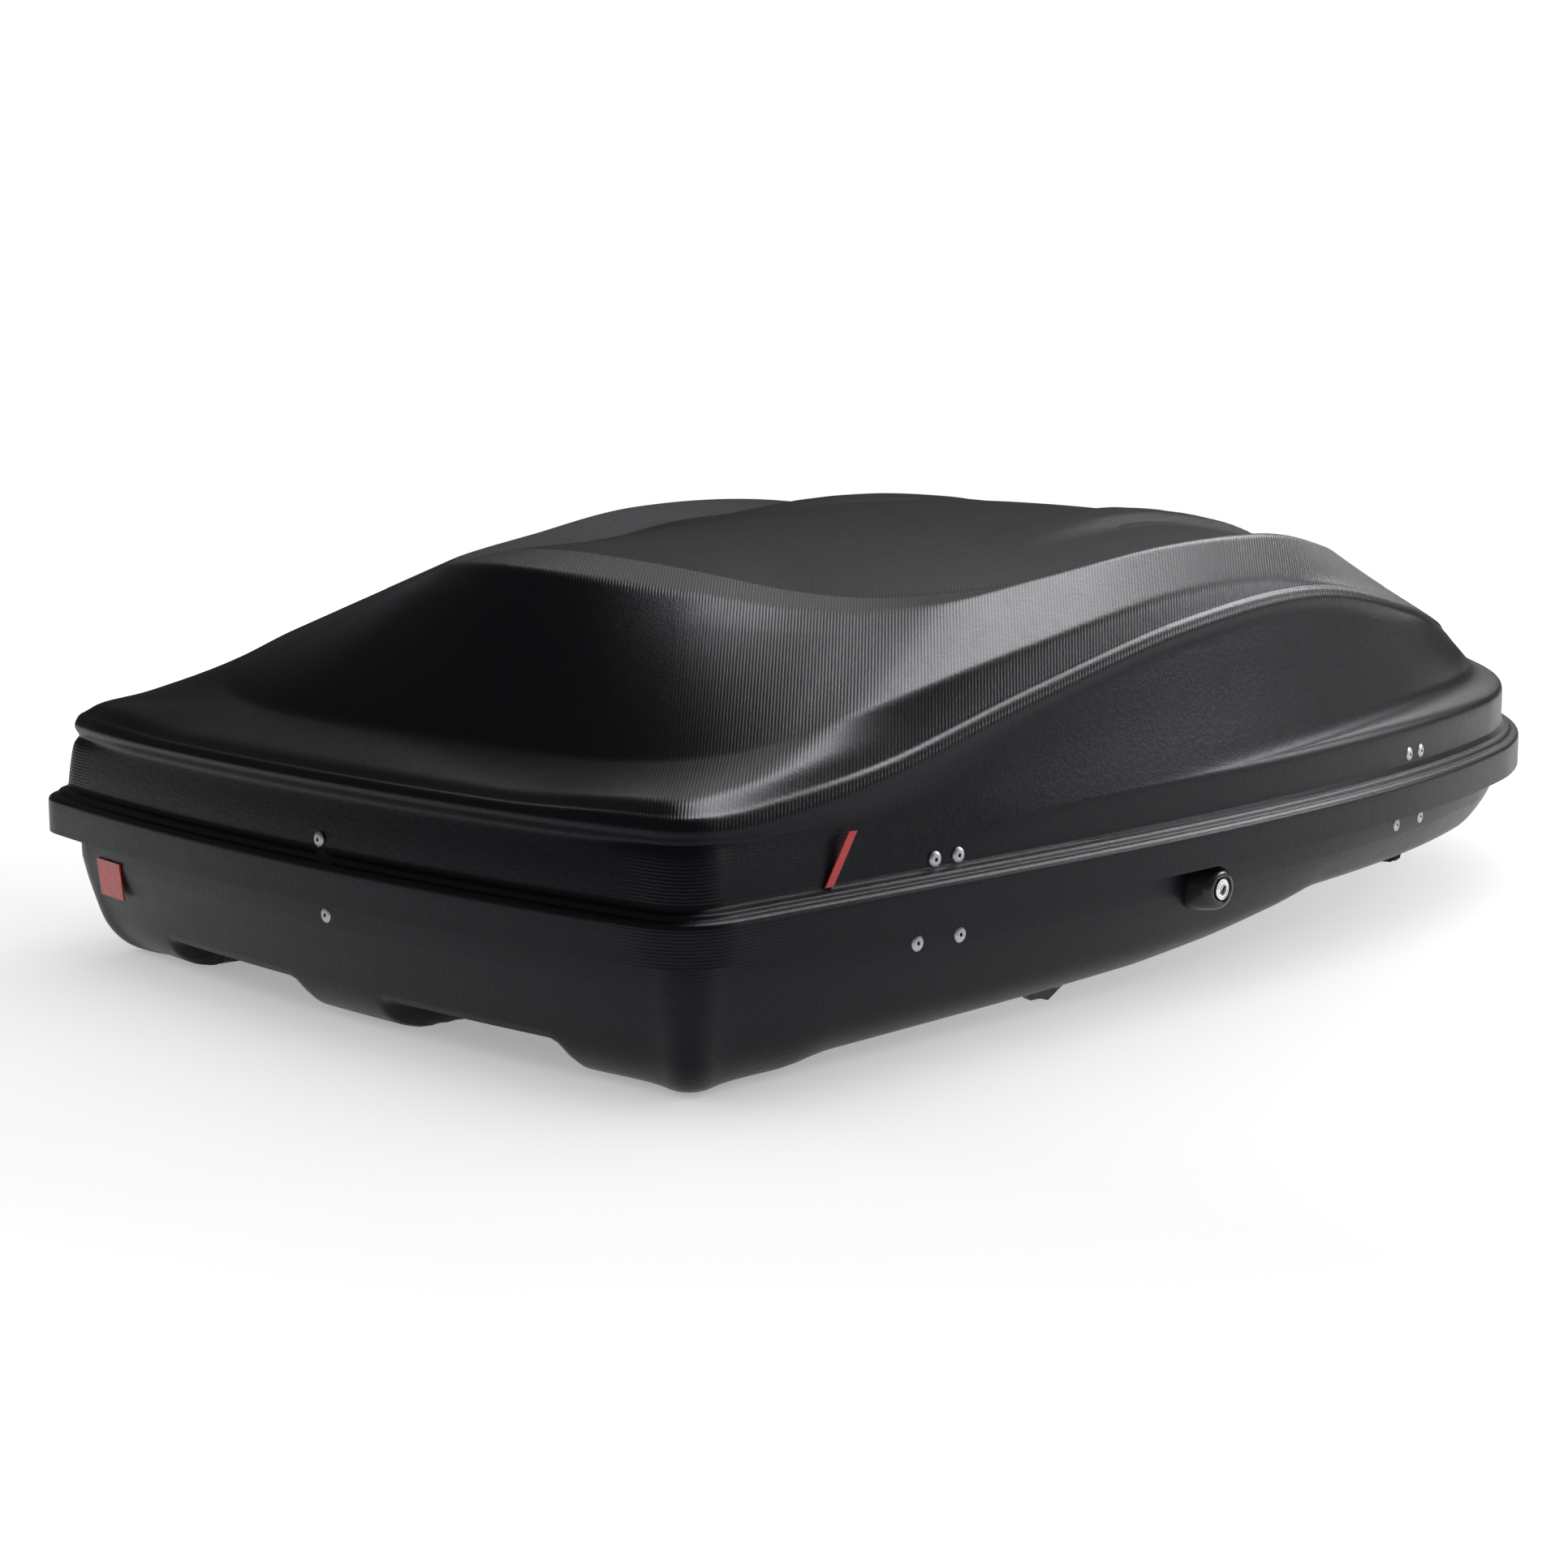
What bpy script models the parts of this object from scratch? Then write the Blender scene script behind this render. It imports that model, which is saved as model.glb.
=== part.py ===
"""Roof cargo box: a thermoformed base and a lid that opens to the right, with two hinges and two
telescopic stays on the left, a central lock on the right, and four U-bolt clamps through the floor.

Metres. +X is the front of the box, +Y its left (hinge) side, +Z up. The origin is under the middle
of the box, on the surface that the box stands on.
"""

import math

import bmesh
import bpy
from mathutils import Matrix, Vector

# ---- Driving dimensions -----------------------------------------------------------------------
LENGTH = 1.44
WIDTH = 0.86
RIM_Z = 0.108              # lower edge of the lid's band
BAND_HEIGHT = 0.030
REAR_X = -LENGTH / 2
FRONT_X = LENGTH / 2
REAR_BOW = 0.032           # how far the rear edge bulges backwards
FRONT_BOW = 0.129          # how far the nose bulges forwards
SIDE_TAPER = 0.417         # share of the width lost at the front corners
TAPER_POWER = 3.57
REAR_CORNER = 0.048        # length of edge that each corner's curve takes up
FRONT_CORNER = 0.150
LID_SHEET = 0.0035
BASE_SHEET = 0.004
GAP = 0.0003               # between pieces that touch

# Distances inwards from the rim
WALL_INSET = 0.018
FLANGE_INSET = 0.010
BASE_INSET = 0.026
FLANGE_Z = 0.1235
HINGE_SIDE_FLANGE = 0.0185  # the flange's edge on the hinge side, clear of the lid's swing
CORNER_EASE = 1.6

# Underside
CHANNEL_TOP = 0.030        # ceiling of the two channels between the ridges
CHANNEL_INNER = 0.060      # half width of the centre ridge, at half height
CHANNEL_OUTER = 0.255
RIDGE_SLOPE = 0.018
FLOOR_Z = 0.034
RIDGE_BOTTOM = 0.008       # the ridges' flat bottom, where the crossbars press
FRONT_PAD_Z = 0.046

# Crossbar clamps
BAR_X = (-0.40, 0.20)
CLAMP_Y = 0.16
LEG_SPACING = 0.084
LEG_RADIUS = 0.004
SLOT_LENGTH = 0.030
SLOT_WIDTH = 0.010
UBOLT_BOTTOM = 0.0005

# Right-hand latch line: a bar inside the wall, at a slight angle to X
LATCH_ANGLE = math.radians(5)
LATCH_ORIGIN = (-0.101, -0.3555, 0.086)
LATCH_U = (-0.316, 0.347)  # latch places along the bar, from the lock
CAM_RADIUS = 0.0141
BAR_TRAVEL = 0.020

# Left-hand hinge line and the stays
HINGE_ANGLE = math.radians(-3.16)
HINGE_ORIGIN = (-0.18, 0.403, 0.129)
HINGE_P = (-0.27, 0.27)    # hinge places along the line
STAY_P = (-0.345, 0.195)
STAY_FOOT = (-0.051, -0.053)   # from the hinge line: across, up
STAY_HEAD = (-0.054, 0.068)

# ---- The lid's shape --------------------------------------------------------------------------
# Stations are distances along the rim from the middle of the rear edge to the middle of the nose.
# Each curve of the lid has one value or point per station. Heights are above RIM_Z.
STATIONS = (0.0, 0.20, 0.33, 0.425, 0.50, 0.62, 0.80, 1.00, 1.20, 1.40, 1.55, 1.70, 1.85, 2.00)
SHOULDER_WIDTH = (0, 0, 0, 0, 0, 0, 0, 0.001, 0.008, 0.022, 0.030, 0.034, 0.037, 0.038)
SHOULDER_RISE = (0, 0, 0, 0, 0, 0, 0, 0.002, 0.007, 0.012, 0.013, 0.014, 0.016, 0.016)
LIP_INSET = (0.018, 0.018, 0.018, 0.018, 0.018, 0.020, 0.028, 0.034, 0.038, 0.045, 0.056, 0.068,
             0.082, 0.090)
LIP_HEIGHT = (0.098, 0.098, 0.098, 0.098, 0.099, 0.1175, 0.159, 0.197, 0.209, 0.179, 0.150, 0.128,
              0.115, 0.112)
FOOT = ((-0.596, 0.0, 0.1135), (-0.591, 0.165, 0.113), (-0.582, 0.250, 0.116),
        (-0.560, 0.318, 0.125), (-0.523, 0.352, 0.138), (-0.453, 0.375, 0.158),
        (-0.303, 0.381, 0.188), (-0.113, 0.372, 0.216), (0.072, 0.351, 0.2185),
        (0.247, 0.303, 0.196), (0.372, 0.245, 0.172), (0.467, 0.170, 0.156),
        (0.527, 0.085, 0.150), (0.552, 0.0, 0.148))
CREST = ((-0.503, 0.0, 0.242), (-0.488, 0.085, 0.2375), (-0.453, 0.155, 0.228),
         (-0.403, 0.220, 0.217), (-0.366, 0.270, 0.214), (-0.313, 0.310, 0.221),
         (-0.218, 0.323, 0.2355), (-0.083, 0.336, 0.2545), (0.067, 0.323, 0.2555),
         (0.212, 0.272, 0.2335), (0.312, 0.205, 0.214), (0.382, 0.135, 0.204),
         (0.422, 0.066, 0.200), (0.437, 0.0, 0.199))
VALLEY = ((-0.398, 0.0, 0.240), (-0.390, 0.075, 0.236), (-0.368, 0.145, 0.229),
          (-0.340, 0.200, 0.221), (-0.310, 0.242, 0.218), (-0.262, 0.270, 0.219),
          (-0.175, 0.283, 0.2265), (-0.060, 0.294, 0.241), (0.072, 0.281, 0.2445),
          (0.200, 0.228, 0.231), (0.285, 0.165, 0.220), (0.335, 0.110, 0.214),
          (0.365, 0.054, 0.211), (0.375, 0.0, 0.210))
SPINE = ((-0.328, 0.243), (-0.300, 0.246), (-0.265, 0.2495), (-0.235, 0.252), (-0.200, 0.2545),
         (-0.160, 0.257), (-0.100, 0.260), (-0.020, 0.2645), (0.070, 0.2665), (0.170, 0.2575),
         (0.230, 0.2465), (0.280, 0.2365), (0.320, 0.2280), (0.335, 0.2245))

# The underside's height along X: rear lobes, a step, and a slow rise to the nose
UNDERSIDE = ((-0.72, 0.0), (-0.535, 0.0), (-0.50, 0.006), (-0.40, 0.009), (-0.26, 0.013),
             (-0.14, 0.017), (-0.04, 0.025), (0.06, 0.037), (0.11, 0.046), (0.35, 0.046),
             (0.50, 0.047), (0.72, 0.055))
# The base wall: inset from the rim, and share of the height from the underside to WALL_Z
WALL_Z = 0.085
BASE_WALL = ((0.029, 1.0), (0.036, 0.588), (0.044, 0.33), (0.055, 0.16), (0.068, 0.06),
             (0.086, 0.0))

COLUMNS = (0.0, 0.07, 0.14, 0.21, 0.28, 0.34, 0.375, 0.395, 0.415, 0.435, 0.46, 0.50, 0.56, 0.64,
           0.74, 0.86, 1.00, 1.14, 1.28, 1.40, 1.50, 1.58, 1.65, 1.72, 1.79, 1.86, 1.93, 2.00)
FLAT_COLUMNS = 13          # columns over the flat rear part of the floor

BLACK = (0.018, 0.018, 0.020, 1)
STEEL = (0.55, 0.55, 0.56, 1)
RED = (0.55, 0.02, 0.02, 1)


# ---- Curves -----------------------------------------------------------------------------------
def lengths_of(path):
    """Distance along a path of plan points, at each of its points."""
    total = [0.0]
    for a, b in zip(path, path[1:]):
        total.append(total[-1] + math.dist(a, b))
    return total


def point_along(path, lengths, distance):
    for i in range(1, len(path)):
        if distance <= lengths[i] or i == len(path) - 1:
            t = (distance - lengths[i - 1]) / (lengths[i] - lengths[i - 1])
            return tuple(a + (b - a) * t for a, b in zip(path[i - 1], path[i]))


def half_width(x):
    share = (x - REAR_X - REAR_BOW) / (LENGTH - REAR_BOW - FRONT_BOW)
    return WIDTH / 2 * (1 - SIDE_TAPER * max(share, 0.0) ** TAPER_POWER)


def half_rim():
    """The rim's left half in plan, from the middle of the rear edge to the middle of the nose."""
    steps = [i / 40 for i in range(41)]
    side_start, side_end = REAR_X + REAR_BOW, FRONT_X - FRONT_BOW
    nose = half_width(side_end)
    path = [(REAR_X + REAR_BOW * t * t, WIDTH / 2 * t) for t in steps]
    side = [(side_start + (side_end - side_start) * t,) for t in steps]
    side = [(x, half_width(x)) for (x,) in side]
    front = [(FRONT_X - FRONT_BOW * (1 - t) ** 2, nose * (1 - t)) for t in steps]
    for after, cut in ((side, REAR_CORNER), (front, FRONT_CORNER)):
        before_len, after_len = lengths_of(path), lengths_of(after)
        start = point_along(path, before_len, before_len[-1] - cut)
        end = point_along(after, after_len, cut)
        corner = path[-1]
        arc = [tuple((1 - t) ** 2 * a + 2 * t * (1 - t) * b + t * t * c
                     for a, b, c in zip(start, corner, end))
               for t in steps[::4]]
        path = ([p for p, l in zip(path, before_len) if l < before_len[-1] - cut - 1e-4] + arc
                + [p for p, l in zip(after, after_len) if l > cut + 1e-4])
    return path


RIM = half_rim()
RIM_LENGTHS = lengths_of(RIM)


def rim_point(s, inset=0.0, extra=0.0):
    """Plan point at station s, moved inwards at right angles to the rim.

    A large inset turns the corners gently, so that neighbouring lines never cross. The extra inset
    goes on along the same line.
    """
    s = s / STATIONS[-1] * RIM_LENGTHS[-1]
    step = max(0.012, CORNER_EASE * inset)
    inset += extra
    x, y = point_along(RIM, RIM_LENGTHS, s)
    ax, ay = point_along(RIM, RIM_LENGTHS, max(s - step, 0))
    bx, by = point_along(RIM, RIM_LENGTHS, min(s + step, RIM_LENGTHS[-1]))
    if s < step:
        ax, ay = bx, -by
    if s > RIM_LENGTHS[-1] - step:
        bx, by = ax, -ay
    run = math.hypot(bx - ax, by - ay)
    return x + inset * (by - ay) / run, y - inset * (bx - ax) / run


def smooth(stations, values, s, odd=False):
    """A smooth curve through values at stations, mirrored past both ends (odd: with its sign turned)."""
    sign = -1 if odd else 1
    xs = (-stations[1],) + tuple(stations) + (2 * stations[-1] - stations[-2],)
    vs = (sign * values[1],) + tuple(values) + (sign * values[-2],)
    i = 1
    while i < len(xs) - 3 and s > xs[i + 1]:
        i += 1
    slope = [(vs[j + 1] - vs[j - 1]) / (xs[j + 1] - xs[j - 1]) for j in (i, i + 1)]
    width = xs[i + 1] - xs[i]
    t = (s - xs[i]) / width
    return ((2 * t ** 3 - 3 * t ** 2 + 1) * vs[i] + (t ** 3 - 2 * t ** 2 + t) * width * slope[0]
            + (3 * t ** 2 - 2 * t ** 3) * vs[i + 1] + (t ** 3 - t ** 2) * width * slope[1])


def along(points, s):
    """Point at station s of a curve given by one (x, y, z) per station."""
    x, y, z = zip(*points)
    return Vector((smooth(STATIONS, x, s), smooth(STATIONS, y, s, odd=True), smooth(STATIONS, z, s)))


def straight(table, x):
    """Linear reading of a table of (x, value)."""
    for (x0, v0), (x1, v1) in zip(table, table[1:]):
        if x <= x1:
            return v0 + (v1 - v0) * (max(x, x0) - x0) / (x1 - x0)
    return table[-1][1]


# ---- Meshes -----------------------------------------------------------------------------------
def material(name, color, roughness, metallic=0.0):
    found = bpy.data.materials.get(name)
    if found:
        return found
    made = bpy.data.materials.new(name)
    made.use_nodes = True
    shader = made.node_tree.nodes["Principled BSDF"]
    shader.inputs["Base Color"].default_value = color
    shader.inputs["Roughness"].default_value = roughness
    shader.inputs["Metallic"].default_value = metallic
    return made


def add_object(name, mesh_data, finish, parent=None, location=(0, 0, 0), rotation=(0, 0, 0)):
    """A named object from a bmesh or from a mesh that another object already uses."""
    if isinstance(mesh_data, bmesh.types.BMesh):
        bmesh.ops.remove_doubles(mesh_data, verts=mesh_data.verts, dist=1e-6)
        bmesh.ops.recalc_face_normals(mesh_data, faces=mesh_data.faces)
        mesh = bpy.data.meshes.new(name)
        mesh_data.to_mesh(mesh)
        mesh_data.free()
        mesh.shade_smooth()
        mesh.set_sharp_from_angle(angle=math.radians(35))
        mesh.materials.append(finish)
    else:
        mesh = mesh_data
    made = bpy.data.objects.new(name, mesh)
    bpy.context.scene.collection.objects.link(made)
    made.parent = parent
    made.location = location
    made.rotation_euler = rotation
    return made


def add_empty(name, location, rotation=(0, 0, 0), parent=None):
    made = bpy.data.objects.new(name, None)
    bpy.context.scene.collection.objects.link(made)
    made.parent = parent
    made.location = location
    made.rotation_euler = rotation
    return made


def cut(target, cutter, operation="DIFFERENCE"):
    """Boolean with a hidden helper object."""
    cutter.hide_render = True
    cutter.display_type = "WIRE"
    modifier = target.modifiers.new(operation.lower() + "_" + cutter.name, "BOOLEAN")
    modifier.operation = operation
    modifier.object = cutter


def prism(outline, low, high, along_axis="Z"):
    """A closed outline pushed along one axis. The outline's pairs are the other two axes in order."""
    order = {"X": lambda a, b, c: (c, a, b), "Y": lambda a, b, c: (a, c, b),
             "Z": lambda a, b, c: (a, b, c)}[along_axis]
    bm = bmesh.new()
    ends = [[bm.verts.new(order(a, b, c)) for a, b in outline] for c in (low, high)]
    bm.faces.new(ends[0])
    bm.faces.new(ends[1][::-1])
    for i in range(len(outline)):
        j = (i + 1) % len(outline)
        bm.faces.new((ends[0][i], ends[0][j], ends[1][j], ends[1][i]))
    return bm


def box(low, high):
    return prism(((low[0], low[1]), (high[0], low[1]), (high[0], high[1]), (low[0], high[1])),
                 low[2], high[2])


def across(outline, half):
    """An outline of (x, z) pairs, made as wide as the stated half width on each side of Y = 0."""
    return prism(outline, -half, half, "Y")


def turned(profile, sides=16, along_axis="Z"):
    """A profile of (radius, height) turned about an axis; it is closed onto itself or onto the axis."""
    turn = {"Z": Matrix.Identity(4), "X": Matrix.Rotation(math.pi / 2, 4, "Y"),
            "Y": Matrix.Rotation(-math.pi / 2, 4, "X")}[along_axis]
    bm = bmesh.new()
    rows = []
    for radius, height in profile:
        if radius == 0:
            rows.append([bm.verts.new((0, 0, height))] * sides)
            continue
        angles = [2 * math.pi * k / sides for k in range(sides)]
        rows.append([bm.verts.new((radius * math.cos(a), radius * math.sin(a), height))
                     for a in angles])
    pairs = list(zip(rows, rows[1:]))
    if profile[0][0] and profile[-1][0]:
        pairs.append((rows[-1], rows[0]))
    for low, high in pairs:
        for k in range(sides):
            corners = (low[k], low[(k + 1) % sides], high[(k + 1) % sides], high[k])
            corners = list(dict.fromkeys(corners))
            if len(corners) > 2:
                bm.faces.new(corners)
    bmesh.ops.transform(bm, matrix=turn, verts=bm.verts)
    return bm


def loft(column_at, closed=False):
    """Skin of the rings that column_at gives for the left half, mirrored to the right half.

    column_at(s) lists a station's points from the outer ring inwards. When closed, the first ring
    is capped flat, and the last ring with one flat face at the rear and then with a ladder of faces
    that runs across the box.
    """
    bm = bmesh.new()
    left = [[bm.verts.new(p) for p in column_at(s)] for s in COLUMNS]
    right = [[bm.verts.new((v.co.x, -v.co.y, v.co.z)) for v in column] for column in left]
    for side in (left, right):
        for a, b in zip(side, side[1:]):
            for k in range(len(a) - 1):
                bm.faces.new((a[k], b[k], b[k + 1], a[k + 1]))
    if closed:
        bm.faces.new([c[0] for c in left] + [c[0] for c in right[-2:0:-1]])
        bm.faces.new([c[-1] for c in left[:FLAT_COLUMNS]]
                     + [c[-1] for c in right[FLAT_COLUMNS - 1:0:-1]])
        for i in range(FLAT_COLUMNS - 1, len(left) - 1):
            bm.faces.new((left[i][-1], left[i + 1][-1], right[i + 1][-1], right[i][-1]))
    bmesh.ops.remove_doubles(bm, verts=bm.verts, dist=1e-5)
    bmesh.ops.dissolve_degenerate(bm, edges=bm.edges, dist=1e-6)
    return bm


# ---- Lid and base -----------------------------------------------------------------------------
def lid_column(s):
    """The lid's outer points at station s, from the band's lower edge to the spine."""
    lip_inset = smooth(STATIONS, LIP_INSET, s)
    lip = RIM_Z + smooth(STATIONS, LIP_HEIGHT, s)
    width = smooth(STATIONS, SHOULDER_WIDTH, s)
    rise = smooth(STATIONS, SHOULDER_RISE, s)
    shoulder = RIM_Z + 0.070
    inner_inset, inner_z = WALL_INSET + width, shoulder + 0.004 + rise
    walls = [(0, RIM_Z), (0, RIM_Z + BAND_HEIGHT), (0.008, RIM_Z + 0.033),
             (WALL_INSET, RIM_Z + 0.038), (WALL_INSET - 0.001, shoulder), (inner_inset, inner_z),
             ((inner_inset + lip_inset) / 2 + 0.003, (inner_z + lip - 0.013) / 2),
             (lip_inset + 0.003, lip - 0.013), (lip_inset, lip - 0.006), (lip_inset + 0.006, lip)]
    points = [Vector((*rim_point(s, inset), z)) for inset, z in walls]
    raised = Vector((0, 0, RIM_Z))
    foot, crest, valley = (along(curve, s) + raised for curve in (FOOT, CREST, VALLEY))
    spine_x, spine_z = (smooth(STATIONS, values, s) for values in zip(*SPINE))
    spine = Vector((spine_x, 0, RIM_Z + spine_z))
    dome = valley.lerp(spine, 0.5)
    dome.z += 0.15 * (spine.z - valley.z)
    flank = foot.lerp(crest, 0.55)
    flank.z += 0.006
    return points + [foot, flank, crest, valley, dome, spine]


def make_lid(parent):
    lid = add_object("lid_shell", loft(lid_column), material("lid plastic", BLACK, 0.42), parent)
    sheet = lid.modifiers.new("sheet", "SOLIDIFY")
    sheet.thickness = LID_SHEET
    sheet.offset = -1
    sheet.use_even_offset = True
    return lid


def underside(x):
    return straight(UNDERSIDE, x)


def base_column(s):
    """The base's outer points at station s, from the flange to the underside."""
    points = [(*rim_point(s, FLANGE_INSET), FLANGE_Z), (*rim_point(s, FLANGE_INSET), 0.120),
              (*rim_point(s, BASE_INSET), 0.120), (*rim_point(s, BASE_INSET), 0.106)]
    for inset, share in BASE_WALL:
        x, y = rim_point(s, inset)
        low = underside(x)
        points.append((x, y, low + share * (WALL_Z - low)))
    return points


def cavity_column(s):
    """The base's inner points at station s, from above the flange to the floor."""
    points = [(*rim_point(s, BASE_INSET, BASE_SHEET), FLANGE_Z + 0.01),
              (*rim_point(s, BASE_INSET, BASE_SHEET), 0.106)]
    for inset, share in BASE_WALL:
        x, y = rim_point(s, inset, BASE_SHEET)
        low = underside(x) + BASE_SHEET
        points.append((x, y, low + share * (WALL_Z - low)))
    return points


def channel(side, grow=0.0):
    """One channel of the underside as a solid; grow moves its walls outwards by a sheet."""
    inner, outer = CHANNEL_INNER - grow, CHANNEL_OUTER + grow
    flare = RIDGE_SLOPE / 2
    low, high = -0.02, CHANNEL_TOP + grow
    outline = ((inner - flare, low), (outer + flare, low), (outer - flare, high),
               (inner + flare, high))
    return prism([(side * y, z) for y, z in outline], -0.80, 0.32 + grow, "X")


def make_base():
    base = add_object("base_shell", loft(base_column, closed=True),
                      material("base plastic", BLACK, 0.38))
    hidden = material("helper", BLACK, 0.5)
    cavity = add_object("cavity", loft(cavity_column, closed=True), hidden)
    for side in (-1, 1):
        cut(cavity, add_object(f"channel_floor_{side}", channel(side, BASE_SHEET), hidden))
        cut(base, add_object(f"channel_{side}", channel(side), hidden))
    ridge = add_object("front_ridge", box((-0.60, -0.05, RIDGE_BOTTOM), (0.30, 0.05, 0.049)), hidden)
    cut(base, ridge, "UNION")
    for x, y in ((-0.218, 0.322), (0.50, 0.14)):
        for side in (-1, 1):
            foot = turned(((0, 0), (0.010, 0), (0.016, 0.004), (0.022, 0.050), (0, 0.050)), 10)
            cut(base, add_object(f"foot_{x}_{side}", foot, hidden, location=(x, side * y, 0)),
                "UNION")
    cut(base, cavity)
    hollow = box((-0.64, -0.044, RIDGE_BOTTOM + BASE_SHEET), (0.28, 0.044, 0.060))
    cut(base, add_object("ridge_hollow", hollow, hidden))
    stations = [0.34 + 0.03 * i for i in range(38)]
    trim = ([rim_point(s, -0.005) for s in stations]
            + [rim_point(s, HINGE_SIDE_FLANGE) for s in reversed(stations)])
    cut(base, add_object("flange_trim", prism(trim, 0.119, 0.125), hidden))
    for bar_x in BAR_X:
        for side in (-1, 1):
            for leg in (-1, 1):
                x, y = bar_x + leg * LEG_SPACING / 2, side * CLAMP_Y
                slot = box((x - SLOT_LENGTH / 2, y - SLOT_WIDTH / 2, 0.0),
                           (x + SLOT_LENGTH / 2, y + SLOT_WIDTH / 2, 0.08))
                cut(base, add_object(f"slot_{bar_x}_{side}_{leg}", slot, hidden))
    line = bpy.data.objects["latch_line"]
    bore = turned(((0, 0.010), (0.0085, 0.010), (0.0085, 0.060), (0, 0.060)), 16, "Y")
    bmesh.ops.scale(bore, vec=(1, -1, 1), verts=bore.verts)
    bmesh.ops.recalc_face_normals(bore, faces=bore.faces)
    cut(base, add_object("lock_bore", bore, hidden, line))
    return base


# ---- Right-hand lock and latches (in the latch line's frame: U along it, -Y outwards) -----------
def make_lock(line, cylinder_axis):
    plastic = material("lock plastic", (0.012, 0.012, 0.013, 1), 0.3)
    metal = material("lock metal", STEEL, 0.25, 1.0)
    face = 0.0570              # from the latch line outwards
    ring = [(0.0095, 0.0360), (0.0175, 0.0360), (0.0175, 0.0490), (0.0150, face),
            (0.0115, face + 0.001), (0.0110, face - 0.001), (0.0095, face - 0.001)]
    housing = turned(ring, 20, "Y")
    bmesh.ops.scale(housing, vec=(1.15, -1, 1), verts=housing.verts)
    for vert in housing.verts:
        if vert.co.y > -0.040:
            vert.co.y = -0.0352 - 0.19 * vert.co.z
    add_object("lock_housing", housing, plastic, line)

    barrel = [(0, 0.012), (0.0025, 0.012), (0.0025, 0.0165), (0.0078, 0.0165),
              (0.0078, face - 0.0015), (0.0088, face - 0.0014), (0.0088, face + 0.0005),
              (0, face + 0.0007)]
    cylinder = turned(barrel, 20, "Y")
    bmesh.ops.scale(cylinder, vec=(1, -1, 1), verts=cylinder.verts)
    core = add_object("lock_cylinder", cylinder, metal, cylinder_axis)
    keyhole = box((-0.0040, -face - 0.01, -0.0008), (0.0040, -face + 0.003, 0.0008))
    cut(core, add_object("keyhole", keyhole, metal, cylinder_axis))

    # The arm starts 45 degrees before upright and ends 45 degrees past it.
    reach = CAM_RADIUS + 0.004
    arm = [(0.0068, -0.002), (0.0050, reach), (-0.0050, reach), (-0.0068, -0.002), (-0.004, -0.0068),
           (0.004, -0.0068)]
    cam = add_object("lock_cam", prism(arm, -0.0155, -0.0120, "Y"), metal, cylinder_axis)
    shank = turned(((0, -0.0190), (0.0029, -0.0190), (0.0029, 0.0), (0, 0.0)), 10, "Y")
    cut(cam, add_object("cam_bore", shank, metal, cylinder_axis))
    pin = turned(((0, -0.0140), (0.0024, -0.0140), (0.0024, 0.0035), (0, 0.0035)), 10, "Y")
    cut(cam, add_object("cam_pin", pin, metal, cylinder_axis, (0, 0, CAM_RADIUS)), "UNION")


def make_latches(line, slider):
    steel = material("zinc steel", STEEL, 0.35, 1.0)
    half, thick = 0.006, 0.0015
    start, end = LATCH_U[0] - 0.048, LATCH_U[1] + 0.020
    left = -CAM_RADIUS * math.sin(math.radians(45))     # where the cam pin is at rest
    bar = add_object("lock_bar", box((start, -thick, -half), (end, thick, half)), steel, slider)
    low, high = 0.0062, 0.0212
    plate = prism(((left - 0.009, -half), (left + 0.009, -half), (left + 0.009, high),
                   (left - 0.009, high)), -thick, thick, "Y")
    cut(bar, add_object("yoke", plate, steel, slider), "UNION")
    slot = box((left - 0.0032, -0.01, low), (left + 0.0032, 0.01, high - 0.0025))
    cut(bar, add_object("yoke_slot", slot, steel, slider))

    rail = ((-0.0085, -0.0095), (-0.0085, 0.0095), (0.0035, 0.0095), (0.0035, 0.0045),
            (0.0020, 0.0045), (0.0020, 0.0068), (-0.0068, 0.0068), (-0.0068, -0.0068),
            (0.0020, -0.0068), (0.0020, -0.0045), (0.0035, -0.0045), (0.0035, -0.0095))
    for place, u, guide in zip(("rear", "front"), LATCH_U, (0.030, -0.080)):
        add_object(f"latch_guide_{place}",
                   prism(rail, u + guide - 0.025, u + guide + 0.025, "X"), steel, line)
        # A finger on the bar passes over the lid's toe when the bar slides forward.
        finger = ((u - 0.046, -0.0058), (u - 0.036, -0.0058), (u - 0.036, 0.0150),
                  (u - 0.013, 0.0150), (u - 0.013, 0.0210), (u - 0.046, 0.0210))
        add_object(f"latch_hook_{place}",
                   prism(finger, thick + GAP, thick + GAP + 0.0016, "Y"), steel, slider)
        strap = ((-0.0217, 0.080), (-0.0217, 0.056), (-0.0065, 0.040), (-0.0065, 0.0122),
                 (0.0060, 0.0122), (0.0060, 0.0142), (-0.0045, 0.0142), (-0.0045, 0.041),
                 (-0.0197, 0.057), (-0.0197, 0.080))
        add_object(f"striker_{place}", prism(strap, u - 0.010, u + 0.010, "X"), steel, line)


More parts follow.
